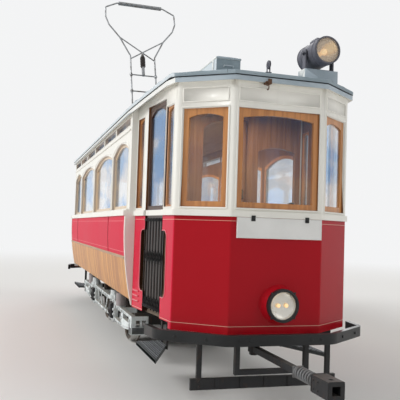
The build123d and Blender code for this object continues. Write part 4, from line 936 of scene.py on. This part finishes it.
# Faces that look sideways take the saloon sides' brighter crimson, the others a darker crimson:
# painted sunlight on the sides and painted shade on the front and facets.
sunlit_sides = abs(paint.facing("X")).rise(0.75, 0.95) * abs(paint.spot("X")).rise(0.60, 0.70)
outer = paint.mix(sunlit_sides, shaded_crimson, crimson)
outer = paint.mix(fine_lines.rise(0, 1), outer, line_colour)
outer = paint.mix(inward(paint, platform_fold), outer, inner)
enamel(paint, outer, 0.15, 0.06, 0.10, 0.03, dust_top=0.9)
dress(dash_red, "dash_front", "dash_rear")
# The ribs and the beads round the niches are a paler pink-red than the dash: a painted highlight
# along their rounded edges.
highlight_red, paint = new_paint("highlight_red")
enamel(paint, (0.74, 0.16, 0.20), 0.2, 0.04, 0.35, 0.2)
door_start, door_end = 0.270, 0.745
niche_low, niche_high, niche_width, niche_corner = 0.870, 1.440, 0.112, 0.060
rib_shape = moulding(
    [Vector((0, 0, 0)), Vector((0, 0.172, 0))],
    [
        (-0.003, -0.008), (0.006, -0.0075), (0.011, -0.003), (0.011, 0.002), (0.005, 0.0075),
        (-0.003, 0.008),
    ],
)
along_wall = Matrix(((0, 1, 0, 0), (0, 0, 1, 0), (1, 0, 0, 0), (0, 0, 0, 1)))
niche_beads, ribs = Shape(), Shape()
for end, hand in corners:
    side = wall(end, hand, "side")
    for start, reach in ((door_start, -niche_width), (door_end, niche_width)):
        corner = math.copysign(niche_corner, reach)
        path = [(start, niche_high, 0)]
        for middle, first in ((niche_high - niche_corner, 0), (niche_low + niche_corner, 1)):
            for i in range(7):
                angle = math.tau * (first + i / 6) / 4
                x = start + reach - corner + corner * math.sin(angle)
                path.append((x, middle + niche_corner * math.cos(angle), 0))
        path.append((start, niche_low, 0))
        niche_beads.add(tube(path, 0.005), side)
    for i in range(3):
        ribs.add(rib_shape, side, (0.866, 0.765 + 0.046 * i, 0), along_wall)
niche_beads.piece("niche_beads", highlight_red, "side_red")
ribs.piece("panel_ribs", highlight_red, "side_red")


# Doors, bulkheads and benches: varnished hardwood, nearly black on the entrance doors, which have a
# cream belt bar and thin raised frames round their panels and glass.
dark_wood, paint = new_paint("varnish")
z = paint.spot("Z")
belt = z.between(1.56625, 1.61675, 0.00025)
tone, relief = wood_tone(paint, (0.085, 0.034, 0.014), (0.035, 0.014, 0.006), "Z", 0.8)
# Below the belt the doors are darker still, nearly black: partly their own dark lower panels,
# partly painted shade behind the lattice gates.
tone = paint.mix(z.rise(1.55, 1.56), paint.mix(0.85, tone, (0.012, 0.006, 0.004)), tone)
tone = paint.mix(belt, tone, paint.mix(inward(paint, platform_fold), cream, tone))
surface(paint, tone, 0.26 + relief * 0.15, relief, 0.0006, Coat_Weight=0.2, Specular_IOR_Level=0.35)
saloon_wood = timber(
    "saloon_wood", (0.42, 0.195, 0.075), (0.21, 0.085, 0.030), "Z", 0.32, 0.15, 0.0006, 0.8, 0.3
)
bench_wood = timber(
    "bench_wood", (0.40, 0.20, 0.08), (0.22, 0.09, 0.034), "Y", 0.34, 0.15, 0.0006, 0.8, 0.3
)
dress(dark_wood, *[name for name in nodes if name.startswith("door_") and "glass" not in name])
dress(saloon_wood, "bulkheads", "sliding_door_front", "sliding_door_rear")
dress(bench_wood, "benches")
door_depth = 0.014
for end_name, end in ends.items():
    for hand_name, hand in (("right", -1), ("left", 1)):
        side = wall(end, hand, "side", door_depth)
        frames = Shape()
        for low, high in ((0.790, 1.140), (1.190, 1.520)):
            frames.add(bead((0.325, low), (0.690, high), 0.0045, 0.010), side)
        frames.add(bead((0.310, 1.650), (0.705, 2.530), 0.004, 0.010), side)
        door = f"{end_name}_{hand_name}"
        frames.piece(f"door_frames_{door}", dark_wood, "varnish", f"door_{door}")


# Lattice gates and grips: black iron bars with a flat rail at head and foot and a rivet at each
# crossing, and turned brass grips gone brown, held in cast sockets.
def old_brass(name, bright, brown, scale, rough, metal):
    """Brass gone brown in patches."""
    material, paint = new_paint(name)
    tarnish = paint.noise(scale, 5, 0.6).rise(0.30, 0.70)
    tone = paint.mix(tarnish, bright, brown)
    surface(paint, tone, rough + tarnish * 0.28, paint.noise(90, 3), 0.0004, Metallic=metal)
    return material


grip_brass = old_brass("grip_brass", (0.10, 0.062, 0.028), (0.035, 0.022, 0.012), 11, 0.34, 0.8)
gate_black, paint = new_paint("gate_black")
chips = paint.noise(30, 5).rise(0.52, 0.72)
tone = paint.mix(chips * 0.5, (0.004, 0.004, 0.0045), (0.014, 0.012, 0.011))
surface(
    paint, tone, 0.5 + chips * 0.2, paint.noise(160, 3), 0.0004, edge=0.0015,
    Specular_IOR_Level=0.06,
)
dress(gate_black, "lattice_gates")
dress(grip_brass, "grab_rails")
bar_inset, grip_inset, grip_depth = 0.007, 0.036, 0.025
bar_pitch = (door_end - door_start - 2 * bar_inset) / 6
gate_rails = (0.752, 1.528)
rail = block((door_end - door_start - 0.012, 0.026, 0.004), 0.0012)
rivet_small = turned([(0, 0.004), (0.004, 0.003), (0.006, 0)], 8)
collar = turned([(0.013, 0), (0.021, 0), (0.021, 0.006), (0.017, 0.022), (0.0135, 0.022)], 20)
gate_fittings, sockets = Shape(), Shape()
for end, hand in corners:
    side = wall(end, hand, "side")
    for z in gate_rails:
        gate_fittings.add(rail, side, ((door_start + door_end) / 2, z, 0.0012))
    for i in range(7):
        x = door_start + bar_inset + i * bar_pitch
        for z in (0.735, 0.845, 1.145, 1.255):
            gate_fittings.add(rivet_small, side, (x, z, -0.001))
        for z in gate_rails:
            gate_fittings.add(rivet_small, side, (x, z, 0.003))
    for x in (door_start - grip_inset, door_end + grip_inset):
        foot = wall(end, hand, "side", grip_depth) @ Vector((x, 0, 0))
        sockets.add(collar, (foot.x, foot.y, niche_low))
        sockets.add(collar, at((foot.x, foot.y, niche_high), (0, 0, -1)))
gate_fittings.piece("gate_fittings", gate_black, "underframe_black")
sockets.piece("grip_sockets", grip_brass, "brass")


# Steps: a black steel tread under each entrance, ribbed along the car, its inner end corner cut off
# on the slant, with a turned-down nosing. Two strap hangers bolted to it carry it.
step_middle, step_length = (0.705, 3.170, 0.320), 0.860
hanger_x, hanger_foot, hanger_length = 0.587, 0.305, 0.375
cut_start, cut_out = Vector((0.605, 3.035, 0)), Vector((-0.565, 0.221, 0))
tread = Shape()
tread.add(block((0.250, step_length, 0.030), 0.003), step_middle)
tread.add(block((0.006, step_length, 0.038), 0.002), step_middle, (0.122, 0, 0))
for i in range(10):
    tread.add(block((0.008, 0.850, 0.014), 0.002), step_middle, ((i - 4.5) * 0.0235, 0, 0.015))
made = bmesh.ops.bisect_plane(
    tread.bm, geom=tread.bm.verts[:] + tread.bm.edges[:] + tread.bm.faces[:], dist=1e-6,
    plane_co=cut_start, plane_no=cut_out, clear_outer=True,
)["geom_cut"]
cut_edges = [item for item in made if isinstance(item, bmesh.types.BMEdge)]
bmesh.ops.holes_fill(tread.bm, edges=cut_edges)
strap = block((0.014, 0.050, hanger_length), 0.002)
treads, hangers = Shape(), Shape()
for end, hand in corners:
    treads.add(tread.bm, Matrix.Diagonal((hand, end, 1, 1)))
    for y in (2.800, 3.010):
        hangers.add(strap, (hand * hanger_x, end * y, hanger_foot + hanger_length / 2))
        for z in (0.322, 0.55, 0.64):
            place = (hand * (hanger_x + 0.007), end * y, z)
            hangers.add(hex_bolt(0.022, 0.012), at(place, (hand, 0, 0)))
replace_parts(treads.piece("step_treads", chequer, "underframe_black"), "steps")
hangers.piece("step_hangers", black_iron, "underframe_black")


# Driver's gear: an iron drum controller under a brass top with its crank handle, and the hand brake
# on its post with a wooden grip on the wheel. Both stand on cast feet bolted to the boards.
brass = old_brass("brass", (0.42, 0.27, 0.10), (0.13, 0.075, 0.035), 14, 0.24, 1.0)
dress(black_iron, "controllers", "brake_columns")
gear_x, gear_y, boards_z = 0.300, 3.800, 0.720
gear_brass, gear_iron = Shape(), Shape()
for end in (-1, 1):
    drum, post = (end * gear_x, end * gear_y, boards_z), (-end * gear_x, end * gear_y, boards_z)
    crank = [(0, 0, 1.018), (0.05, 0.02, 1.020), (0.11, 0.05, 1.016), (0.155, 0.07, 1.012)]
    gear_brass.add(tube(crank, 0.009), drum)
    for place, steps, section in (
        ((0, 0, 0), 32, [
            (0, 0.985), (0.030, 0.984), (0.082, 0.978), (0.088, 0.970), (0.088, 0.9705),
            (0, 0.9705),
        ]),
        ((0, 0, 0), 20, [(0, 1.030), (0.016, 1.026), (0.020, 1.000), (0.014, 0.980), (0, 0.980)]),
        ((0.155, 0.07, 0), 18, [
            (0, 1.100), (0.012, 1.098), (0.019, 1.080), (0.015, 1.045), (0.018, 1.020),
            (0.012, 1.010), (0, 1.008),
        ]),
    ):
        gear_brass.add(turned(section, steps), drum, place)
    for z in (0.05, 0.46, 0.88):
        hoop = [(0.134, z), (0.1385, z + 0.004), (0.1385, z + 0.016), (0.134, z + 0.020)]
        gear_iron.add(turned(hoop, 36), drum)
    for place, steps, section in (
        (drum, 36, [(0, 0), (0.165, 0), (0.165, 0.010), (0.150, 0.020), (0.134, 0.028)]),
        (post, 28, [
            (0, 0), (0.090, 0), (0.090, 0.008), (0.040, 0.030), (0.024, 0.080), (0.022, 0.080),
        ]),
        (post, 28, [(0.022, 0.900), (0.034, 0.905), (0.034, 0.940), (0.022, 0.950)]),
        (post, 24, [
            (0, 1.000), (0.020, 0.996), (0.030, 0.985), (0.030, 0.940), (0.022, 0.935), (0, 0.935),
        ]),
    ):
        gear_iron.add(turned(section, steps), place)
    for place, ring in ((drum, 0.150), (post, 0.068)):
        for x, y in round_points(6, ring):
            gear_iron.add(hex_bolt(0.018, 0.011), place, (x, y, 0.008))
gear_brass.piece("controller_tops", brass, "brass")
gear_iron.piece("gear_castings", black_iron, "underframe_black")


# Roof: boards under canvas, painted blue-grey in many coats and seamed across every 0.93 m. The
# saloon's vault runs out at each end into a five-sided dome with a level edge, under which a
# cornice is screwed to the walls. Its ceiling is varnished boards.
facet_x, facet_y, slant_x, slant_y = 0.6033, 0.7975, 0.9935, 0.1142
seam_pitch = 0.93
roof_canvas, paint = new_paint("roof_canvas")
under = 1 - paint.facing("Z").rise(-0.35, -0.15)
sunlit_sides = abs(paint.facing("X")).rise(0.80, 0.95)
seam_line = (paint.spot("Y") / seam_pitch + 0.5).rest().line(0.5, 0.008, 0.014)
blotch = paint.noise(2.2, 6, 0.6).rise(0.35, 0.70)
weave = paint.noise(260, 2)
canvas = paint.mix(blotch, (0.30, 0.37, 0.41), (0.21, 0.27, 0.305))
canvas = paint.mix(seam_line * 0.35, canvas, (0.13, 0.16, 0.18))
# Faces that look sideways are painted pale: painted sunlight on the roof's sides.
canvas = paint.mix(sunlit_sides, canvas, (0.60, 0.66, 0.69))
ceiling, _ = wood_tone(paint, (0.62, 0.46, 0.27), (0.40, 0.27, 0.14), "Y")
# Outside the walls the roof's underside is painted nearly black: painted shade under the overhang.
x, y = abs(paint.spot("X")), abs(paint.spot("Y"))
shaded_overhang = x.over(0.968) + y.over(4.195) + (x * facet_x + y * facet_y).over(3.586)
shaded_overhang = (shaded_overhang + (x * slant_x + y * slant_y).over(1.236)).over(0.5)
ceiling = paint.mix(shaded_overhang, ceiling, (0.030, 0.038, 0.048))
relief = weave * 0.3 + seam_line + blotch
surface(paint, paint.mix(under, canvas, ceiling), 0.62 - under * 0.2, relief, 0.002)
dress(roof_canvas, "roof_box")
roof_edge, paint = new_paint("roof_edge")
blotch = paint.noise(4, 5).rise(0.35, 0.70)
soffit = 1 - paint.facing("Z").rise(-0.9, -0.7)
sunlit_sides = abs(paint.facing("X")).rise(0.80, 0.95)
edge_colour = paint.mix(blotch, (0.42, 0.49, 0.54), (0.33, 0.40, 0.45))
# Faces that look sideways are painted nearly white: painted sunlight on the cornice's sides.
edge_colour = paint.mix(sunlit_sides, edge_colour, (0.80, 0.81, 0.78))
surface(paint, paint.mix(soffit, edge_colour, cream), 0.45, paint.noise(90, 3), 0.0006)
crown, vault_radius, hip_radius = 2.980, 1.61504, 3.3002
dome_drop, dome_run, dome_power = 0.250, 1.400, 1.6
sheet, rim, cornice_strip = 0.040, 0.034, 0.080


def vault(x):
    """The saloon's vault, the same along the car."""
    return crown - vault_radius + math.sqrt(vault_radius**2 - x**2)


def roof_top(x, y):
    """The canvas over the saloon's vault and the domes, whose front and facets fall alike."""
    reach = max(0, abs(y) - 2.835, facet_x * abs(x) + facet_y * abs(y) - 2.2255)
    return min(vault(x), crown - dome_drop * (reach / dome_run) ** dome_power)


def solid_top(x, y):
    """The plain hipped top that the solids below the canvas are cut to."""
    reach = max(0, abs(y) - 2.975)
    return min(vault(x), crown - hip_radius + math.sqrt(hip_radius**2 - reach**2))


def eased(name, buried=0.0):
    """A solid's merged mesh with its upper or lower edge laid to the level dome."""
    bm = bmesh.new()
    bm.from_mesh(nodes[name].data)
    bmesh.ops.remove_doubles(bm, verts=bm.verts[:], dist=1e-5)
    for vert in bm.verts:
        x, y, z = vert.co
        for layer in (0, sheet, cornice_strip):
            if abs(solid_top(x, y) - layer - z) < 0.002:
                vert.co.z = roof_top(x, y) - layer - buried
                break
    return bm


canvas_sheet = bmesh.new()
bmesh.ops.create_grid(
    canvas_sheet, x_segments=44, y_segments=176, size=1, matrix=Matrix.Diagonal((1.02, 4.24, 1, 1))
)
for hand in (-1, 1):
    for end in (-1, 1):
        for (x, y), (out_x, out_y) in (
            ((1.010, 2.800), (1, 0)),
            ((1.010, 2.800), (1.119, 0.1815)),
            ((0.4111, 4.235), (facet_x, facet_y)),
            ((0, 4.235), (0, 1)),
        ):
            bmesh.ops.bisect_plane(
                canvas_sheet, dist=1e-5, clear_outer=True,
                geom=canvas_sheet.verts[:] + canvas_sheet.edges[:] + canvas_sheet.faces[:],
                plane_co=(hand * x, end * y, 0), plane_no=(hand * out_x, end * out_y, 0),
            )
for vert in canvas_sheet.verts:
    vert.co.z = roof_top(vert.co.x, vert.co.y)
dome_inside = [vert for vert in canvas_sheet.verts if abs(vert.co.y) > 2.7 and not vert.is_boundary]
for _ in range(8):
    bmesh.ops.smooth_vert(canvas_sheet, verts=dome_inside, factor=0.5, use_axis_z=True)
rim_verts = {vert for vert in canvas_sheet.verts if vert.is_boundary}
made = bmesh.ops.extrude_face_region(canvas_sheet, geom=canvas_sheet.faces[:], use_keep_orig=True)
for item in made["geom"]:
    if isinstance(item, bmesh.types.BMVert):
        at_rim = any(edge.other_vert(item) in rim_verts for edge in item.link_edges)
        item.co.z -= rim if at_rim else sheet
bmesh.ops.recalc_face_normals(canvas_sheet, faces=canvas_sheet.faces[:])
upright = [
    e for e in canvas_sheet.edges
    if len(e.link_faces) == 2 and abs(e.verts[0].co.z - e.verts[1].co.z) > 0.02
    and e.calc_face_angle() > 0.06 and all(abs(face.normal.z) < 0.3 for face in e.link_faces)
]
ease(canvas_sheet, upright, 0.03, 3)
rims = [e for e in canvas_sheet.edges if len(e.link_faces) == 2 and e.calc_face_angle() > 0.9]
ease(canvas_sheet, rims, 0.005)
foot = eased("searchlight_foot", 0.010)
for name, node, part, material, slot in (
    ("canvas_sheet", "roof", canvas_sheet, roof_canvas, "roof_canvas"),
    ("cornice_strip", "cornice", eased("cornice"), roof_edge, "roof_canvas"),
    ("searchlight_plinth", "searchlight_foot", foot, roof_edge, "roof_canvas"),
    ("upper_frame_front", "vestibule_front", eased("vestibule_front"), cream_platform, "cream"),
    ("upper_frame_rear", "vestibule_rear", eased("vestibule_rear"), cream_platform, "cream"),
):
    whole = Shape()
    whole.add(part)
    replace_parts(whole.piece(name, material, slot), node)
box_y, box_side = -2.035, 0.133
box_trim = Shape()
box_trim.add(block((0.276, 1.672, 0.022), 0.009), (0, box_y, 3.214))
box_trim.add(block((0.230, 1.620, 0.020), 0.009), (0, box_y, 3.226))
for i in range(4):
    y = box_y + (i - 1.5) * 0.48
    for hand in (-1, 1):
        box_trim.add(block((0.006, 0.045, 0.120), 0.002), (hand * box_side, y, 3.165))
        for z in (3.125, 3.180):
            box_trim.add(rivet_small, at((hand * (box_side + 0.003), y, z), (hand, 0, 0)))
for y in (-2.862, -1.208):
    out = y * 1.006
    handle = [(-0.05, y, 3.12), (-0.05, out, 3.135), (0.05, out, 3.135), (0.05, y, 3.12)]
    box_trim.add(tube(handle, 0.006))
box_trim.piece("roof_box_lid", roof_edge, "roof_canvas")


# Collector: a lyre of painted steel tube on cast bearings, bare and bright where it has rubbed,
# with a ribbed dark insulator under the knot and the bearings bolted down on the boards.
bow_steel, paint = new_paint("bare_steel")
rub = paint.noise(18, 5, 0.6).rise(0.45, 0.75)
tone = paint.mix(rub, (0.27, 0.28, 0.29), (0.10, 0.075, 0.055))
surface(paint, tone, 0.38 + rub * 0.3, paint.noise(120, 3), 0.0006, Metallic=0.75 - rub * 0.5)
dress(bow_steel, "collector_bow")
dress(truck_grey, "collector_base")
insulator_dark = iron(
    "insulator_dark", (0.028, 0.022, 0.020), (0.045, 0.04, 0.038), 0.05, 0.1, 0.25
)
hinge_y, hinge_z, lean_run, bearing_x = 1.230, 3.110, 0.41, 0.262
lean = Vector((0, lean_run, 1)).normalized()


def on_bow(x, z):
    """A place on the leaning bow, given how far aside and how high it is."""
    return Vector((x, hinge_y + lean_run * (z - hinge_z), z))


section = [(0, 0), (0.036, 0)]
for i in range(6):
    low = 0.012 + 0.034 * i
    section += [(0.034, low), (0.044, low + 0.008), (0.046, low + 0.013), (0.036, low + 0.024)]
section += [(0.036, 0.225), (0.030, 0.235), (0, 0.235)]
insulator, bow_clamps, bearing_bolts = Shape(), Shape(), Shape()
insulator.add(turned(section, 28), at(on_bow(0, 4.225), lean))
clamp = turned(
    [
        (0.0145, -0.028), (0.020, -0.028), (0.022, -0.02), (0.022, 0.02), (0.020, 0.028),
        (0.0145, 0.028),
    ],
    20,
)
for z in (3.755, 4.065):
    for x in (-0.214, 0.214):
        place = on_bow(x, z)
        bow_clamps.add(clamp, at(place, lean))
        place += Vector((0, -0.020, 0.008))
        bow_clamps.add(hex_bolt(0.018, 0.012), at(place, (0, -1, lean_run)))
dome_nut = turned([(0, 0.022), (0.010, 0.020), (0.016, 0.012), (0.018, 0), (0, 0)], 20)
for hand in (-1, 1):
    for y in (hinge_y - 0.065, hinge_y + 0.065):
        bearing_bolts.add(hex_bolt(0.024, 0.014), at((hand * 0.305, y, 3.020), (hand, 0, 0)))
        bearing_bolts.add(hex_bolt(0.020, 0.010), at((hand * bearing_x, y, hinge_z)))
    bearing_bolts.add(dome_nut, at((hand * bearing_x, hinge_y, 3.146)))
insulator.piece("bow_insulator", insulator_dark, "bare_steel", "bow")
bow_clamps.piece("bow_clamps", bow_steel, "bare_steel", "bow")
bearing_bolts.piece("bearing_bolts", truck_grey, "truck_grey")


# Bumpers: a flat band of black-painted steel bent round each end of the car, on forged brackets
# that are bolted through it.
bumper_black, paint = new_paint("bumper_black")
scrape = worn_edge(paint) * paint.noise(22, 4).rise(0.46, 0.66)
haze = paint.noise(3.5, 5).rise(0.35, 0.75)
base = paint.mix(haze * 0.4, (0.010, 0.011, 0.012), (0.030, 0.031, 0.030))
base = paint.mix(scrape * 0.7, base, (0.13, 0.12, 0.11))
surface(paint, base, 0.28 + haze * 0.22, paint.noise(60, 3), 0.0008, Specular_IOR_Level=0.3)
dress(bumper_black, "bumpers")
bumper_z, bumper_out = 0.617, 0.152
bolt_end = rod(0.011, 0.007, 14, 0.002)
brackets = Shape()
for end in (-1, 1):
    for x in (-0.300, 0.300):
        brackets.add(block((0.060, 0.260, 0.050), 0.008), (x, end * 4.180, bumper_z))
        brackets.add(block((0.120, 0.012, 0.078), 0.004), (x, end * 4.298, bumper_z))
        for aside in (-0.042, 0.042):
            brackets.add(bolt_end, at((x + aside, end * 4.341, bumper_z), (0, end, 0)))
    for hand in (-1, 1):
        for along in (0.10, 0.36):
            brackets.add(bolt_end, wall(end, hand, "facet", -bumper_out), (along, bumper_z, 0))
brackets.piece("bumper_brackets", bumper_black, "underframe_black")


# Couplers: a black forged bar with a coil drawn over it, a square cast mouth with a rolled lip, and
# a pivot nut under the platform. The stirrup and the lifeguard hang in front of the truck.
dress(black_iron, "coupler_front", "coupler_rear")
coil_bright = iron("coil_bright", (0.17, 0.175, 0.18), (0.07, 0.065, 0.06), 0.25, 0.1, 0.45)
coupler_z, mouth_side = 0.445, 0.061
for end_name, end in ends.items():
    fittings, drawn_coil = Shape(), Shape()
    for y, half, thick, corner in (
        (4.952, 0.058, 0.0055, 0.012),
        (5.184, 0.058, 0.0055, 0.012),
        (5.185, 0.034, 0.0045, 0.008),
    ):
        lip = bead((-half, -half), (half, half), thick, corner)
        fittings.add(lip, at((0, end * y, coupler_z), (0, 1, 0)))
    for x in (-mouth_side, mouth_side):
        for y in (4.985, 5.045):
            for z in (coupler_z - 0.030, coupler_z + 0.030):
                fittings.add(rivet_head, at((x, end * y, z), (x, 0, 0)))
    fittings.add(rod(0.038, 0.030, 6, 0.004), at((0, end * 3.760, 0.390)))
    drawn_coil.add(coil(0.040, 0.009, 0, 0.300, 9), at((0, end * 4.640, coupler_z), (0, end, 0)))
    for y in (4.628, 4.944):
        drawn_coil.add(block((0.084, 0.014, 0.084), 0.004), (0, end * y, coupler_z))
    body = f"coupler_{end_name}"
    fittings.piece(f"coupler_fittings_{end_name}", black_iron, "underframe_black", body)
    drawn_coil.piece(f"coupler_coil_{end_name}", coil_bright, "bare_steel", body)
stirrup_y, guard_y = 4.150, 4.030
guards = Shape()
for end in (-1, 1):
    for x in (-0.300, 0.300):
        guards.add(block((0.070, 0.060, 0.012), 0.003), (x, end * stirrup_y, 0.584))
        for aside in (-0.022, 0.022):
            guards.add(hex_bolt(0.018, 0.010), at((x + aside, end * stirrup_y, 0.578), (0, 0, -1)))
    for x in (-0.570, 0.570):
        for z in (0.205, 0.245, 0.560):
            guards.add(hex_bolt(0.020, 0.012), at((x, end * guard_y, z), (0, end, 0)))
    for x in (-0.42, -0.21, 0, 0.21, 0.42):
        guards.add(block((0.030, 0.010, 0.082), 0.003), (x, end * (guard_y + 0.004), 0.225))
guards.piece("guard_fittings", black_iron, "underframe_black")


# Headlights: a red cone pressed in the dash, a black cast rim with a rolled lip and four lugs, a
# plated reflector with two warm lamps and a bowed clear lens.
lens_glass = clear_glass("lens", (0.80, 0.80, 0.76), (0.90, 0.89, 0.84), 0.10, power=4)
dress(bumper_black, "headlight_rims")
plated, paint = new_paint("plated")
surface(paint, (0.62, 0.60, 0.55), 0.22, paint.noise(60, 2), 0.0004, Metallic=1.0)
warm, paint = new_paint("warm_lamp")
core = paint.node("ShaderNodeLayerWeight", {}, {"Blend": 0.4}, "Facing")
core_glow = paint.mix(core, (1.0, 0.74, 0.36), (0.75, 0.30, 0.06))
surface(paint, (0.80, 0.55, 0.25), 0.2, Emission_Color=core_glow, Emission_Strength=0.9)
headlight_x, headlight_z = 0.030, 0.876
lens_section = [
    (0, 0.0985), (0.040, 0.0970), (0.075, 0.0925), (0.100, 0.0860), (0.110, 0.0820),
    (0.110, 0.0790), (0.098, 0.0825), (0.073, 0.0890), (0.038, 0.0935), (0, 0.0950),
]
dish_section = [
    (0.110, 0.081), (0.100, 0.074), (0.070, 0.067), (0.030, 0.063), (0, 0.062), (0, 0.0605),
    (0.110, 0.0605),
]
bulb_section = [
    (0, 0.088), (0.011, 0.085), (0.017, 0.077), (0.016, 0.070), (0.010, 0.063), (0, 0.062),
]
lip_section = [(0.112, 0.096), (0.114, 0.101), (0.119, 0.103), (0.124, 0.101), (0.126, 0.096)]
lug = block((0.022, 0.014, 0.016), 0.003)
lenses, reflectors, bulbs, lips = Shape(), Shape(), Shape(), Shape()
for end in (-1, 1):
    lamp = at((-end * headlight_x, end * face_y, headlight_z), (0, end, 0))
    lenses.add(turned(lens_section, 48), lamp)
    reflectors.add(turned(dish_section, 48), lamp)
    for x in (-0.034, 0.034):
        bulbs.add(turned(bulb_section, 20), lamp, (x, 0, 0))
    lips.add(turned(lip_section, 48), lamp)
    for i, (x, y) in enumerate(round_points(4, 0.134, 0.5)):
        quarter = Matrix.Rotation(math.tau * (i + 0.5) / 4, 4, "Z")
        lips.add(lug, lamp, quarter, (0.136, 0, 0.088))
        lips.add(rivet_small, lamp, (x, y, 0.096))
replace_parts(lenses.piece("headlight_glasses", lens_glass, "lens"), "headlight_lenses")
reflectors.piece("headlight_reflectors", plated, "bare_steel")
bulbs.piece("headlight_bulbs", warm, "lens")
lips.piece("headlight_lips", bumper_black, "underframe_black")


# Board: a plain white enamelled plate on the front dash, held by two black clips over its upper
# edge and a thin rolled frame all round.
board_white, paint = new_paint("board_white")
fade = paint.mix(paint.noise(4, 5).rise(0.3, 0.8), (0.80, 0.80, 0.78), (0.72, 0.72, 0.70))
surface(paint, fade, 0.5, paint.noise(70, 3), 0.0005)
dress(board_white, "destination_board")
clips, board_rim = Shape(), Shape()
for x in (-0.215, 0.255):
    clips.add(block((0.034, 0.010, 0.040), 0.003), (x, -4.209, 1.556))
    clips.add(block((0.034, 0.024, 0.008), 0.002), (x, -4.203, 1.577))
    clips.add(rivet_head, at((x, -4.214, 1.560), (0, -1, 0)))
board_rim.add(bead((-0.346, 1.404), (0.386, 1.561), 0.003, 0.010), wall(-1, 1, "front", -0.016))
clips.piece("board_clips", bumper_black, "underframe_black")
board_rim.piece("board_rim", board_white, "board_white")


# Searchlight: a spun steel drum with rolled bands, a vent on top and a warm lamp in a plated
# reflector, on its yoke with two wing nuts. A pulley and an iron hook are screwed to the roof's
# edge beside it.
drum_grey = iron("drum_grey", (0.125, 0.127, 0.155), (0.070, 0.070, 0.082), 0.12, 0.10, 0.45)
dress(drum_grey, "searchlight_drum", "searchlight_yoke")
warm_glass = clear_glass("warm_lens", (0.88, 0.73, 0.58), (0.92, 0.82, 0.70), 0.30, 0.0, 4)
dress(warm_glass, "searchlight_lens")
search_x, search_y, search_z = 0.520, -3.820, 3.057
drum_radius, band_radius = 0.119, 0.1235
search = at((search_x, search_y, search_z), (0, -1, 0))
drum_bands, dish, lamp_bulb, wings = Shape(), Shape(), Shape(), Shape()
for low in (-0.178, -0.110, 0.100, 0.170):
    band = [
        (drum_radius, low - 0.006), (band_radius, low - 0.004), (band_radius, low + 0.004),
        (drum_radius, low + 0.006),
    ]
    drum_bands.add(turned(band, 48), search)
drum_bands.add(block((0.075, 0.150, 0.030), 0.008), (search_x, -3.790, 3.185))
for i in range(4):
    drum_bands.add(block((0.060, 0.012, 0.012), 0.003), (search_x, -3.745 - 0.03 * i, 3.202))
grip = [(0.49, -3.642, 3.00), (0.49, -3.615, 3.02), (0.49, -3.615, 3.09), (0.49, -3.642, 3.11)]
drum_bands.add(tube(grip, 0.007))
dish_section = [
    (0.108, 0.150), (0.095, 0.110), (0.070, 0.070), (0.040, 0.045), (0, 0.035), (0, 0.032),
    (0.043, 0.042), (0.073, 0.067), (0.098, 0.108), (0.1095, 0.150),
]
dish.add(turned(dish_section, 40), search)
bulb_section = [
    (0, 0.135), (0.018, 0.130), (0.029, 0.112), (0.028, 0.092), (0.016, 0.070), (0.014, 0.038),
    (0, 0.036),
]
lamp_bulb.add(turned(bulb_section, 24), search)
for hand in (-1, 1):
    pin = at((search_x + hand * 0.140, search_y, search_z), (hand, 0, 0))
    wings.add(rod(0.013, 0.022, 18, 0.003), pin)
    wings.add(block((0.056, 0.006, 0.016), 0.0025), pin, (0, 0, 0.014))
drum_bands.piece("searchlight_bands", drum_grey, "truck_grey", "drum")
dish.piece("searchlight_reflector", plated, "bare_steel", "drum")
lamp_bulb.piece("searchlight_bulb", warm, "lens", "drum")
wings.piece("searchlight_wings", drum_grey, "truck_grey", "yoke")
pulley_x, pulley_y, pulley_z = -0.125, -4.215, 2.800
wheel = [
    (0.006, -0.007), (0.034, -0.007), (0.036, -0.005), (0.026, 0), (0.036, 0.005), (0.034, 0.007),
    (0.006, 0.007),
]
pulley, hook = Shape(), Shape()
pulley.add(turned(wheel, 28), at((pulley_x, pulley_y, pulley_z), (1, 0, 0)))
for x in (-0.137, -0.113):
    pulley.add(block((0.004, 0.020, 0.084), 0.0015), (x, -4.213, 2.775))
pulley.add(block((0.048, 0.030, 0.006), 0.002), (pulley_x, -4.212, 2.738))
pulley.add(rod(0.005, 0.034, 12, 0.001), at((-0.142, pulley_y, pulley_z), (1, 0, 0)))
pulley.piece("line_pulley", drum_grey, "truck_grey")
hook_iron = iron("hook_iron", (0.10, 0.045, 0.022), (0.05, 0.03, 0.02), 0.5, 0.1, 0.6)
hook_x = -0.134
bend = [
    (hook_x, -4.236 - 0.018 * math.sin(a), 2.612 - 0.020 * math.cos(a))
    for a in [math.pi * (i / 10 - 0.35) for i in range(12)]
]
hook.add(tube([(hook_x, -4.224, 2.652), (hook_x, -4.232, 2.646), *bend[::-1]], 0.0045))
hook.add(block((0.054, 0.052, 0.012), 0.003), (-0.130, -4.220, 2.646))
hook.add(block((0.034, 0.006, 0.040), 0.002), (-0.122, -4.246, 2.660))
ring = [(x, y, 0) for x, y in round_points(20, 0.015)]
hook.add(tube(ring, 0.005, True), at((-0.146, -4.248, 2.640), (0.3, 1, 0)))
hook.piece("line_hook", hook_iron, "truck_grey")
